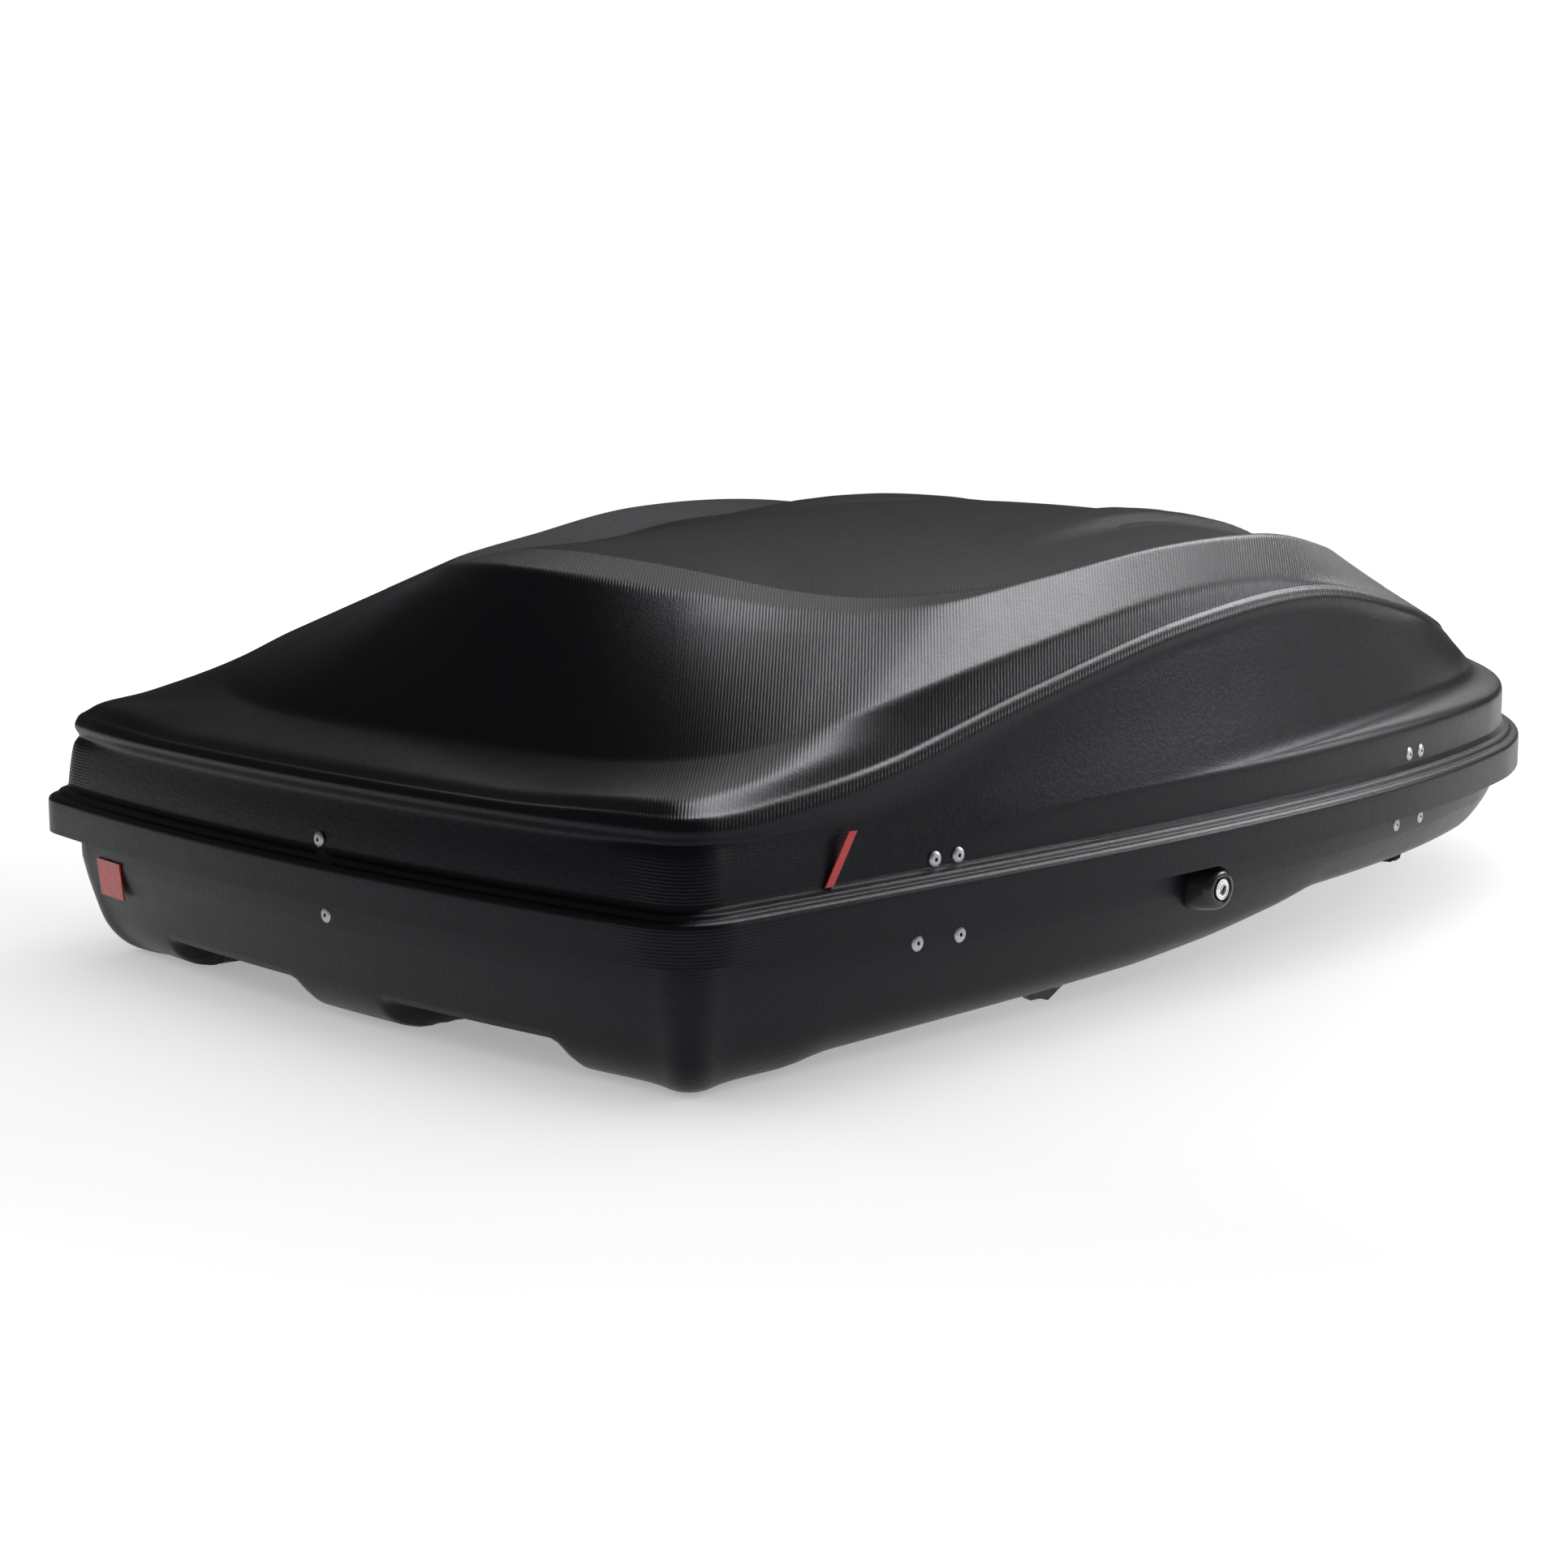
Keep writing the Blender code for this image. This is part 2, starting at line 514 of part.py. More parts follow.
# ---- Hinges and stays (in the hinge line's frame: P along it, Y outwards) -----------------------
def make_hinges(line):
    steel = material("zinc steel", STEEL, 0.35, 1.0)
    pin_r, knuckle_r, half = 0.0015, 0.0035, 0.022

    def leaf(name, strap, low, high):
        """A strap that ends in a knuckle round the hinge line."""
        angles = [math.radians(15 + 30 * k) for k in range(12)]
        ring = [(knuckle_r * math.cos(a), knuckle_r * math.sin(a)) for a in angles]
        body = add_object(name, prism(ring, low, high, "X"), steel, line)
        hole = turned(((0, low - 0.01), (pin_r + 0.0002, low - 0.01), (pin_r + 0.0002, high + 0.01),
                       (0, high + 0.01)), 10, "X")
        cut(body, add_object("strap_" + name, prism(strap, low, high, "X"), steel, line), "UNION")
        cut(body, add_object("hole_" + name, hole, steel, line))

    base_strap = ((-0.017, -0.0051), (0.0, -0.0051), (0.0, -0.0018), (-0.002, -0.0033),
                  (-0.017, -0.0033))
    for place, p, wall in zip(("rear", "front"), HINGE_P, (-0.0112, -0.0146)):
        lid_strap = ((-0.0018, 0.0028), (0.0, 0.0034), (wall, 0.0120), (wall, 0.042),
                     (wall - 0.002, 0.042), (wall - 0.002, 0.0110), (-0.0030, 0.0005))
        leaf(f"hinge_base_leaf_{place}", base_strap, p - half, p - GAP)
        leaf(f"hinge_lid_leaf_{place}", lid_strap, p + GAP, p + half)
        pin = turned(((0, p - half - 0.003), (0.003, p - half - 0.003), (0.003, p - half - 0.001),
                      (pin_r, p - half - 0.001), (pin_r, p + half + 0.001), (0, p + half + 0.001)),
                     10, "X")
        add_object(f"hinge_pin_{place}", pin, steel, line)


def make_stays(line):
    steel = material("zinc steel", STEEL, 0.35, 1.0)
    black = material("stay tube", (0.02, 0.02, 0.02, 1), 0.3)
    foot, head = Vector((0, *STAY_FOOT)), Vector((0, *STAY_HEAD))
    length = (head - foot).length
    lean = math.atan2(-(head.y - foot.y), head.z - foot.z)
    for place, p in zip(("rear", "front"), STAY_P):
        pivot = add_empty(f"stay_pivot_{place}", (p, foot.y, foot.z), (lean, 0, 0), line)
        tube = turned(((0, 0.012), (0.0055, 0.012), (0.0055, 0.086), (0.0038, 0.086),
                       (0.0038, 0.018), (0, 0.018)), 12)
        tube = add_object(f"stay_tube_{place}", tube, black, pivot)
        tongue = box((-0.0025, -0.006, -0.006), (0.0025, 0.006, 0.014))
        cut(tube, add_object(f"tube_tongue_{place}", tongue, black, pivot), "UNION")
        eye = turned(((0, -0.01), (0.0028, -0.01), (0.0028, 0.01), (0, 0.01)), 10, "X")
        cut(tube, add_object(f"tube_eye_{place}", eye, black, pivot))
        rod = turned(((0, 0.030), (0.0034, 0.030), (0.0034, 0.038), (0.0025, 0.038),
                      (0.0025, length - 0.006), (0, length - 0.006)), 12)
        rod = add_object(f"stay_rod_{place}", rod, steel, pivot)
        outer = turned(((0.0052, -0.002), (0.0085, -0.002), (0.0085, 0.002), (0.0052, 0.002)), 14,
                       "X")
        cut(rod, add_object(f"rod_eye_{place}", outer, steel, pivot, (0, 0, length)), "UNION")

        # Base bracket: a plate from the wall with a stud through the tube's tongue.
        high, low, lid_wall = ((-0.0286, -0.0308, -0.0144) if place == "rear"
                               else (-0.0238, -0.0275, -0.0075))
        plate = prism(((foot.y - 0.006, foot.z - 0.006), (low, foot.z - 0.016),
                       (high, foot.z - 0.004), (foot.y + 0.004, foot.z + 0.005),
                       (foot.y - 0.006, foot.z + 0.005)), p + 0.0040, p + 0.0060, "X")
        bracket = add_object(f"stay_base_bracket_{place}", plate, steel, line)
        stud = turned(((0, -0.0045), (0.0024, -0.0045), (0.0024, 0.0050), (0, 0.0050)), 10, "X")
        cut(bracket, add_object(f"foot_stud_{place}", stud, steel, line, (p, foot.y, foot.z)),
            "UNION")
        # Lid bracket: a plate from the lid's wall with a stud through the rod's wide eye.
        plate = prism(((head.y - 0.006, head.z - 0.006), (lid_wall, head.z - 0.032),
                       (lid_wall, head.z - 0.020), (head.y + 0.006, head.z + 0.006),
                       (head.y - 0.006, head.z + 0.006)), p + 0.0040, p + 0.0060, "X")
        bracket = add_object(f"stay_lid_bracket_{place}", plate, steel, line)
        stud = turned(((0, -0.0040), (0.0020, -0.0040), (0.0020, 0.0050), (0, 0.0050)), 10, "X")
        cut(bracket, add_object(f"head_stud_{place}", stud, steel, line, (p, head.y, head.z)),
            "UNION")


# ---- Crossbar clamps ----------------------------------------------------------------------------
def lobed(radius, depth, lobes, sides):
    return [((radius - depth * (0.5 - 0.5 * math.cos(lobes * a))) * math.cos(a),
             (radius - depth * (0.5 - 0.5 * math.cos(lobes * a))) * math.sin(a))
            for a in (2 * math.pi * k / sides for k in range(sides))]


def make_clamps():
    steel = material("zinc steel", STEEL, 0.35, 1.0)
    black = material("knob plastic", (0.015, 0.015, 0.016, 1), 0.4)
    for place, bar_x in zip(("rear", "front"), BAR_X):
        floor = FLOOR_Z if place == "rear" else FRONT_PAD_Z + BASE_SHEET
        for side_name, side in (("right", -1), ("left", 1)):
            tag = f"{place}_{side_name}"
            y = side * CLAMP_Y
            top = floor + 0.040
            bend = 0.012
            low = UBOLT_BOTTOM + LEG_RADIUS
            half = LEG_SPACING / 2
            arc = [math.radians(22.5 * k) for k in range(5)]
            route = [(-half, top)]
            route += [(-half + bend - bend * math.cos(a), low + bend - bend * math.sin(a))
                      for a in arc]
            route += [(-x, z) for x, z in reversed(route)]
            curve = bpy.data.curves.new(f"ubolt_{tag}", "CURVE")
            curve.dimensions = "3D"
            curve.bevel_depth = LEG_RADIUS
            curve.bevel_resolution = 1
            curve.use_fill_caps = True
            curve.materials.append(steel)
            line = curve.splines.new("POLY")
            line.points.add(len(route) - 1)
            for point, (x, z) in zip(line.points, route):
                point.co = (x, 0, z, 1)
            add_object(f"ubolt_{tag}", curve, steel, location=(bar_x, y, 0))

            seat = floor + GAP
            plate = add_object(f"clamp_plate_{tag}",
                               box((-0.060, -0.015, 0), (0.060, 0.015, 0.003)), steel,
                               location=(bar_x, y, seat))
            for leg in (-1, 1):
                hole = turned(((0, -0.01), (0.0046, -0.01), (0.0046, 0.01), (0, 0.01)), 12)
                cut(plate, add_object(f"plate_hole_{tag}_{leg}", hole, steel,
                                      location=(bar_x + leg * half, y, seat)))
            for leg, end in ((-1, "a"), (1, "b")):
                where = (bar_x + leg * half, y, seat + 0.003 + GAP)
                knob = add_object(f"knob_{tag}_{end}", prism(lobed(0.022, 0.005, 5, 20), 0, 0.016),
                                  black, location=where)
                bore = turned(((0, -0.01), (0.0046, -0.01), (0.0046, 0.03), (0, 0.03)), 12)
                cut(knob, add_object(f"knob_bore_{tag}_{end}", bore, black, location=where))


# ---- Fasteners and trim -------------------------------------------------------------------------
def rim_face(s, inset, z, side):
    """Point on a wall at station s, with the direction that faces outwards there."""
    x, y = rim_point(s, inset)
    outer_x, outer_y = rim_point(s, 0.0)
    out = Vector((outer_x - x, outer_y - y, 0)).normalized()
    return Vector((x, side * y, z)), Vector((out.x, side * out.y, 0))


def station_of(x):
    """Station whose rim point has this X, on the long side."""
    low, high = 0.45, 1.95
    for _ in range(40):
        middle = (low + high) / 2
        if rim_point(middle)[0] < x:
            low = middle
        else:
            high = middle
    return low


def make_rivets():
    metal = material("rivet aluminium", (0.75, 0.75, 0.76, 1), 0.3, 1.0)
    head = ((0, 0.0010), (0.0016, 0.0010), (0.0020, 0.0026), (0.0045, 0.0019), (0.0064, 0.0004),
            (0.0064, 0.0), (0, 0.0))
    places = [("lid_rear", 0.020, WALL_INSET, 0.1535, -1), ("base_rear", 0.013, 0.0275, 0.0925, -1)]
    for row, inset, z, xs in (("lid_rear_latch", WALL_INSET, 0.153, (-0.430, -0.405)),
                              ("base_rear_latch", 0.0275, 0.090, (-0.439, -0.393)),
                              ("lid_front_latch", WALL_INSET, 0.158, (0.235, 0.260)),
                              ("base_front_latch", 0.0275, 0.094, (0.232, 0.285))):
        for end, x in zip("ab", xs):
            places.append((f"{row}_{end}", station_of(x), inset, z, -1))
    for name, s, inset, z, side in places:
        where, out = rim_face(s, inset, z, side)
        turn = out.to_track_quat("Z", "Y").to_euler()
        add_object(f"rivet_{name}", turned(head, 10), metal, None, where + out * 0.0006, turn)


def make_trim():
    red = material("red trim", RED, 0.35)
    slanted = ((-0.016, -0.019), (-0.008, -0.019), (0.016, 0.019), (0.008, 0.019))
    for name, side in (("right", -1), ("left", 1)):
        where, out = rim_face(station_of(-0.528), WALL_INSET, 0.1660, side)
        turn = (0, 0, math.atan2(out.y, out.x) + math.pi / 2)
        outline = slanted if side < 0 else [(-x, z) for x, z in slanted]
        add_object(f"side_mark_{name}", prism(outline, -0.0012, 0.0, "Y"), red, None,
                   where + out * 0.0016, turn)
    where, out = rim_face(0.335, 0.030, 0.073, 1)
    turn = (0, 0, math.atan2(out.y, out.x) + math.pi / 2)
    plate = prism(((-0.022, -0.016), (0.022, -0.016), (0.022, 0.016), (-0.022, 0.016)), -0.0015, 0,
                  "Y")
    bmesh.ops.rotate(plate, verts=plate.verts, cent=(0, 0, 0), matrix=Matrix.Rotation(0.1, 3, "X"))
    add_object("rear_reflector", plate, red, None, where + out * 0.0024, turn)


def make_rear_catch():
    """A tongue on the lid that drops behind a socket on the base and centres the rear edge."""
    steel = material("zinc steel", STEEL, 0.35, 1.0)
    x = REAR_X + BASE_INSET + BASE_SHEET
    tongue = ((x - 0.0065, 0.170), (x - 0.0065, 0.146), (x + 0.0090, 0.134), (x + 0.0090, 0.090),
              (x + 0.0110, 0.090), (x + 0.0110, 0.136), (x - 0.0045, 0.148), (x - 0.0045, 0.170))
    add_object("rear_tongue", across(tongue, 0.012), steel)
    socket = ((x + 0.0055, 0.080), (x + 0.0055, 0.106), (x + 0.0075, 0.106), (x + 0.0075, 0.082),
              (x + 0.0140, 0.082), (x + 0.0140, 0.100), (x + 0.0160, 0.100), (x + 0.0160, 0.080))
    add_object("rear_socket", across(socket, 0.018), steel)


# ---- Assembly -----------------------------------------------------------------------------------
for existing in list(bpy.data.objects):
    bpy.data.objects.remove(existing, do_unlink=True)

latch_line = add_empty("latch_line", LATCH_ORIGIN, (0, 0, LATCH_ANGLE))
cylinder_axis = add_empty("cylinder_axis", (0, 0, 0), (0, -math.radians(45), 0), latch_line)
hinge_line = add_empty("hinge_line", HINGE_ORIGIN, (0, 0, HINGE_ANGLE))

make_base()
make_lid(None)
make_lock(latch_line, cylinder_axis)
make_latches(latch_line, latch_line)
make_hinges(hinge_line)
make_stays(hinge_line)
make_clamps()
make_rivets()
make_trim()
make_rear_catch()
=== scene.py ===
"""Roof cargo box: camera, studio, detailed shells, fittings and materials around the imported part.

Metres, in the part's own frame: +X is the front of the box, +Y its left (hinge) side, +Z up.
"""

import math

import bmesh
import bpy
import numpy as np
from mathutils import Matrix, Vector


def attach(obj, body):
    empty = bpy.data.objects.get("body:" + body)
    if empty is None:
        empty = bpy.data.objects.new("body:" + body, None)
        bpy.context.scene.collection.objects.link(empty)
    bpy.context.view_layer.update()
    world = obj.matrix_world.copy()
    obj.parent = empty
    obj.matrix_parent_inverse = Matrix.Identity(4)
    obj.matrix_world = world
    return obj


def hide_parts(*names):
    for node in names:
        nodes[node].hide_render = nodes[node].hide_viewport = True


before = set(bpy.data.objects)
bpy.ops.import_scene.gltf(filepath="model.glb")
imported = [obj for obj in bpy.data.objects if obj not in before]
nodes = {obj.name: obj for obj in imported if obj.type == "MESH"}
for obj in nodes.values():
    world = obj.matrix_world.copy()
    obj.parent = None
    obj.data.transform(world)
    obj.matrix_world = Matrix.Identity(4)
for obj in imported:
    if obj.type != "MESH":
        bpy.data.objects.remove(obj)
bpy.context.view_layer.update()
scene = bpy.context.scene

# ---- Dimensions shared with the part -------------------------------------------------------------
# The rim in plan, the walls set in from it, the sheets, the channels below and the lock's place.
LENGTH = 1.44
WIDTH = 0.86
RIM_Z = 0.108
REAR_X = -LENGTH / 2
FRONT_X = LENGTH / 2
REAR_BOW = 0.032
FRONT_BOW = 0.129
SIDE_TAPER = 0.417
TAPER_POWER = 3.57
REAR_CORNER = 0.048
FRONT_CORNER = 0.150
WALL_INSET = 0.018
FLANGE_INSET = 0.010
HINGE_SIDE_FLANGE = 0.0185
BASE_INSET = 0.026
CORNER_EASE = 1.6
LID_SHEET = 0.0035
BASE_SHEET = 0.004
WALL_Z = 0.085
CHANNEL_TOP = 0.030
RIDGE_BOTTOM = 0.008
LATCH_ANGLE = math.radians(5)
LATCH_ORIGIN = (-0.101, -0.3555, 0.086)

# Curves round the left half: station 0 is the middle of the rear, station 2 the middle of the nose.
# Insets are measured inwards from the rim, and the lid's heights upwards from RIM_Z.
STATIONS = (0.0, 0.20, 0.33, 0.425, 0.50, 0.62, 0.80, 1.00, 1.20, 1.40, 1.55, 1.70, 1.85, 2.00)
SHOULDER_WIDTH = (0, 0, 0, 0, 0, 0, 0, 0.001, 0.008, 0.018, 0.023, 0.026, 0.030, 0.031)
SHOULDER_RISE = (0, 0, 0, 0, 0, 0, 0, 0.002, 0.007, 0.012, 0.013, 0.014, 0.016, 0.016)
LIP_INSET = (0.018, 0.018, 0.019, 0.025, 0.020, 0.020, 0.028, 0.034, 0.038, 0.045, 0.062, 0.088,
             0.108, 0.116)
LIP_HEIGHT = (0.098, 0.098, 0.098, 0.098, 0.099, 0.1175, 0.159, 0.197, 0.209, 0.179, 0.150, 0.128,
              0.115, 0.112)
FOOT = ((-0.596, 0.0, 0.1135), (-0.591, 0.165, 0.113), (-0.582, 0.250, 0.116),
        (-0.560, 0.318, 0.125), (-0.523, 0.352, 0.138), (-0.453, 0.375, 0.158),
        (-0.303, 0.381, 0.188), (-0.113, 0.372, 0.216), (0.072, 0.351, 0.2185),
        (0.247, 0.303, 0.196), (0.372, 0.245, 0.172), (0.467, 0.170, 0.156),
        (0.527, 0.085, 0.150), (0.552, 0.0, 0.148))
CREST = ((-0.503, 0.0, 0.242), (-0.488, 0.085, 0.2375), (-0.453, 0.155, 0.228),
         (-0.403, 0.220, 0.217), (-0.366, 0.270, 0.214), (-0.313, 0.310, 0.221),
         (-0.218, 0.323, 0.2355), (-0.083, 0.336, 0.2545), (0.067, 0.323, 0.2555),
         (0.212, 0.272, 0.2335), (0.312, 0.205, 0.214), (0.382, 0.135, 0.204),
         (0.422, 0.066, 0.200), (0.437, 0.0, 0.199))
VALLEY = ((-0.440, 0.0, 0.2505), (-0.430, 0.080, 0.2460), (-0.408, 0.142, 0.2375),
          (-0.372, 0.197, 0.2255), (-0.336, 0.240, 0.2205), (-0.272, 0.268, 0.2210),
          (-0.175, 0.283, 0.2265), (-0.060, 0.294, 0.241), (0.072, 0.281, 0.2445),
          (0.200, 0.228, 0.231), (0.285, 0.165, 0.220), (0.335, 0.110, 0.214),
          (0.365, 0.054, 0.211), (0.375, 0.0, 0.210))
SPINE = ((-0.328, 0.2525), (-0.300, 0.2530), (-0.265, 0.2536), (-0.235, 0.2543),
         (-0.200, 0.2557), (-0.160, 0.2577), (-0.100, 0.260), (-0.020, 0.2645), (0.070, 0.2665),
         (0.170, 0.2575), (0.230, 0.2465), (0.280, 0.2365), (0.320, 0.2280), (0.335, 0.2245))
UNDERSIDE = ((-0.72, 0.0), (-0.535, 0.0), (-0.50, 0.006), (-0.40, 0.009), (-0.26, 0.013),
             (-0.14, 0.017), (-0.04, 0.025), (0.06, 0.037), (0.11, 0.046), (0.35, 0.046),
             (0.50, 0.047), (0.72, 0.055))
# The base's wall from its top to the floor: inset, and share of the wall's height.
BASE_WALL = ((0.0265, 1.0), (0.0305, 0.80), (0.036, 0.588), (0.044, 0.33), (0.055, 0.16),
             (0.068, 0.06), (0.086, 0.0))
# Middles of the left feet in plan.
FEET = ((-0.218, 0.322), (0.50, 0.14))

# ---- Camera --------------------------------------------------------------------------------------
camera_data = bpy.data.cameras.new("camera")
camera = bpy.data.objects.new("camera", camera_data)
scene.collection.objects.link(camera)
camera.location = (-2.0865, -2.0370, 0.5681)
LOOK_AT = (-0.0485, 0, RIM_Z)
look = Vector(LOOK_AT) - camera.location
camera.rotation_euler = look.to_track_quat("-Z", "Y").to_euler()
camera_data.sensor_width = 36
camera_data.lens = 73.28
camera_data.shift_x = -0.0775
camera_data.shift_y = 0.0101
camera_data.clip_end = 60
scene.camera = camera


# ---- Curves --------------------------------------------------------------------------------------
def step(low, high, value):
    """Smooth 0 to 1 between low and high."""
    t = min(max((value - low) / (high - low), 0.0), 1.0)
    return t * t * (3 - 2 * t)


def half_width(x):
    """Half the rim's width at X, before its corners are rounded."""
    share = (x - REAR_X - REAR_BOW) / (LENGTH - REAR_BOW - FRONT_BOW)
    return WIDTH / 2 * (1 - SIDE_TAPER * max(share, 0.0) ** TAPER_POWER)


def path_lengths(path):
    """Distance along a path at each of its points."""
    return np.concatenate([[0], np.cumsum(np.hypot(*np.diff(path, axis=0).T))])


def half_rim():
    """The rim's left half in plan, from the middle of the rear edge to the middle of the nose."""
    steps = np.linspace(0, 1, 301)
    start, end = REAR_X + REAR_BOW, FRONT_X - FRONT_BOW
    nose = half_width(end)
    path = np.stack([REAR_X + REAR_BOW * steps ** 2, WIDTH / 2 * steps], 1)
    side = np.array([(x, half_width(x)) for x in start + (end - start) * steps])
    front = np.stack([FRONT_X - FRONT_BOW * (1 - steps) ** 2, nose * (1 - steps)], 1)
    for after, cut in ((side, REAR_CORNER), (front, FRONT_CORNER)):
        before, later = path_lengths(path), path_lengths(after)
        a = np.array([np.interp(before[-1] - cut, before, path[:, k]) for k in (0, 1)])
        c = np.array([np.interp(cut, later, after[:, k]) for k in (0, 1)])
        t = np.linspace(0, 1, 61)[:, None]
        arc = (1 - t) ** 2 * a + 2 * t * (1 - t) * path[-1] + t * t * c
        path = np.concatenate([path[before < before[-1] - cut - 1e-4], arc,
                               after[later > cut + 1e-4]])
    return path


RIM = half_rim()
RIM_LENGTHS = path_lengths(RIM)
RIM_LENGTH = float(RIM_LENGTHS[-1])


def on_rim(distance):
    """Plan point at a distance along the rim, which goes on into the right half past both ends."""
    side = 1 if 0 <= distance <= RIM_LENGTH else -1
    distance = abs(distance) if distance < RIM_LENGTH else 2 * RIM_LENGTH - distance
    return (float(np.interp(distance, RIM_LENGTHS, RIM[:, 0])),
            side * float(np.interp(distance, RIM_LENGTHS, RIM[:, 1])))


def rim_point(s, inset=0.0, extra=0.0):
    """Plan point at station s, moved inwards at right angles to the rim."""
    s = s / STATIONS[-1] * RIM_LENGTH
    reach = max(0.012, CORNER_EASE * inset)
    inset += extra
    x, y = on_rim(s)
    ax, ay = on_rim(s - reach)
    bx, by = on_rim(s + reach)
    run = math.hypot(bx - ax, by - ay)
    return x + inset * (by - ay) / run, y - inset * (bx - ax) / run


def smooth(stations, values, s, odd=False):
    """A smooth curve through values at stations, mirrored past both ends.

    odd turns the sign of the mirrored values, as for a half-width that changes side.
    """
    sign = -1 if odd else 1
    xs = (-stations[1],) + tuple(stations) + (2 * stations[-1] - stations[-2],)
    vs = (sign * values[1],) + tuple(values) + (sign * values[-2],)
    i = 1
    while i < len(xs) - 3 and s > xs[i + 1]:
        i += 1
    slope = [(vs[j + 1] - vs[j - 1]) / (xs[j + 1] - xs[j - 1]) for j in (i, i + 1)]
    width = xs[i + 1] - xs[i]
    t = (s - xs[i]) / width
    return ((2 * t ** 3 - 3 * t ** 2 + 1) * vs[i] + (t ** 3 - 2 * t ** 2 + t) * width * slope[0]
            + (3 * t ** 2 - 2 * t ** 3) * vs[i + 1] + (t ** 3 - t ** 2) * width * slope[1])


def along(points, s):
    """Point at station s of a curve that holds (x, y, z) for each station."""
    x, y, z = zip(*points)
    return Vector((smooth(STATIONS, x, s), smooth(STATIONS, y, s, odd=True),
                   smooth(STATIONS, z, s)))


def station_of(x):
    """Station whose rim point has this X, on the long side."""
    low, high = 0.45, 1.95
    for _ in range(40):
        middle = (low + high) / 2
        if rim_point(middle)[0] < x:
            low = middle
        else:
            high = middle
    return low


CORNER_SHARE = 0.47


def rounded(keys):
    """Points along a polyline whose corners are rounded.

    keys holds (point, radius, points on the corner, points on the way to the next key). A corner
    takes up at most CORNER_SHARE of each edge beside it.
    """
    points = []
    for i, (p, radius, on_corner, on_way) in enumerate(keys):
        if 0 < i < len(keys) - 1 and on_corner:
            a, b = keys[i - 1][0] - p, keys[i + 1][0] - p
            a = a * min(radius / max(a.length, 1e-9), CORNER_SHARE)
            b = b * min(radius / max(b.length, 1e-9), CORNER_SHARE)
            for k in range(on_corner):
                t = k / (on_corner - 1)
                points.append(p + a * (1 - t) ** 2 + b * t * t)
            leave = p + b
        else:
            points.append(p.copy())
            leave = p
        if i < len(keys) - 1 and on_way:
            q, following = keys[i + 1][0], keys[i + 1][1]
            back = p - q
            if i + 1 < len(keys) - 1 and keys[i + 1][2]:
                arrive = q + back * min(following / max(back.length, 1e-9), CORNER_SHARE)
            else:
                arrive = q
            for k in range(1, on_way + 1):
                points.append(leave.lerp(arrive, k / (on_way + 1)))
    return points


def spread(*runs):
    """Stations from runs of (start, end, step); the last end is included."""
    values = []
    for start, end, size in runs:
        count = max(1, round((end - start) / size))
        values += [start + (end - start) * k / count for k in range(count)]
    return values + [runs[-1][1]]


# ---- Meshes --------------------------------------------------------------------------------------
FITTING_SHARP = math.radians(40)
SKIN_SHARP = math.radians(55)
MERGE_DISTANCE = 2e-6


def place(name, bm, *finishes, matrix=None):
    """A named object from a bmesh, with smooth shading broken at sharp edges."""
    if matrix is not None:
        bmesh.ops.transform(bm, matrix=matrix, verts=bm.verts)
    bmesh.ops.recalc_face_normals(bm, faces=bm.faces)
    mesh = bpy.data.meshes.new(name)
    bm.to_mesh(mesh)
    bm.free()
    mesh.shade_smooth()
    mesh.set_sharp_from_angle(angle=FITTING_SHARP)
    for finish in finishes:
        mesh.materials.append(finish)
    made = bpy.data.objects.new(name, mesh)
    scene.collection.objects.link(made)
    return made


def shell(name, outer, inner, marks, finish):
    """A closed skin from outer and inner rings, each given for the left half and the right half.

    outer and inner are pairs (left, right) of arrays (ring, column, 3). The last ring of each lies
    on the middle line, where both halves meet. marks holds an array each for ribs, phase and matt,
    with one value per outer point.
    """
    points, faces = [], []
    values = ([], [], [])
    grids = []
    for layer, (left, right) in enumerate((outer, inner)):
        rings, columns = left.shape[:2]
        index = np.zeros((rings, 2 * columns - 2), int)
        for r in range(rings):
            for c in range(2 * columns - 2):
                if c >= columns and r == rings - 1:
                    index[r, c] = index[r, 2 * columns - 2 - c]
                    continue
                index[r, c] = len(points)
                half, k = (left, c) if c < columns else (right, 2 * columns - 2 - c)
                points.append(half[r, k])
                for value, mark in zip(values, marks):
                    value.append(mark[r, k] if layer == 0 else 0.0)
        grids.append(index)
    total = grids[0].shape[1]
    for layer, index in enumerate(grids):
        for r in range(len(index) - 1):
            for c in range(total):
                d = (c + 1) % total
                quad = (index[r, c], index[r, d], index[r + 1, d], index[r + 1, c])
                quad = list(dict.fromkeys(int(v) for v in quad))
                if len(quad) > 2:
                    faces.append(quad[::-1] if layer == 0 else quad)
    for c in range(total):
        d = (c + 1) % total
        faces.append([int(v) for v in (grids[0][0, c], grids[0][0, d], grids[1][0, d],
                                       grids[1][0, c])])
    mesh = bpy.data.meshes.new(name)
    mesh.from_pydata([tuple(p) for p in points], [], faces)
    for mark, value in zip(("ribs", "phase", "matt"), values):
        mesh.attributes.new(mark, "FLOAT", "POINT").data.foreach_set("value", value)
    bm = bmesh.new()
    bm.from_mesh(mesh)
    bmesh.ops.remove_doubles(bm, verts=bm.verts, dist=MERGE_DISTANCE)
    bmesh.ops.recalc_face_normals(bm, faces=bm.faces)
    bm.to_mesh(mesh)
    bm.free()
    mesh.shade_smooth()
    mesh.set_sharp_from_angle(angle=SKIN_SHARP)
    mesh.materials.append(finish)
    made = bpy.data.objects.new(name, mesh)
    scene.collection.objects.link(made)
    return made


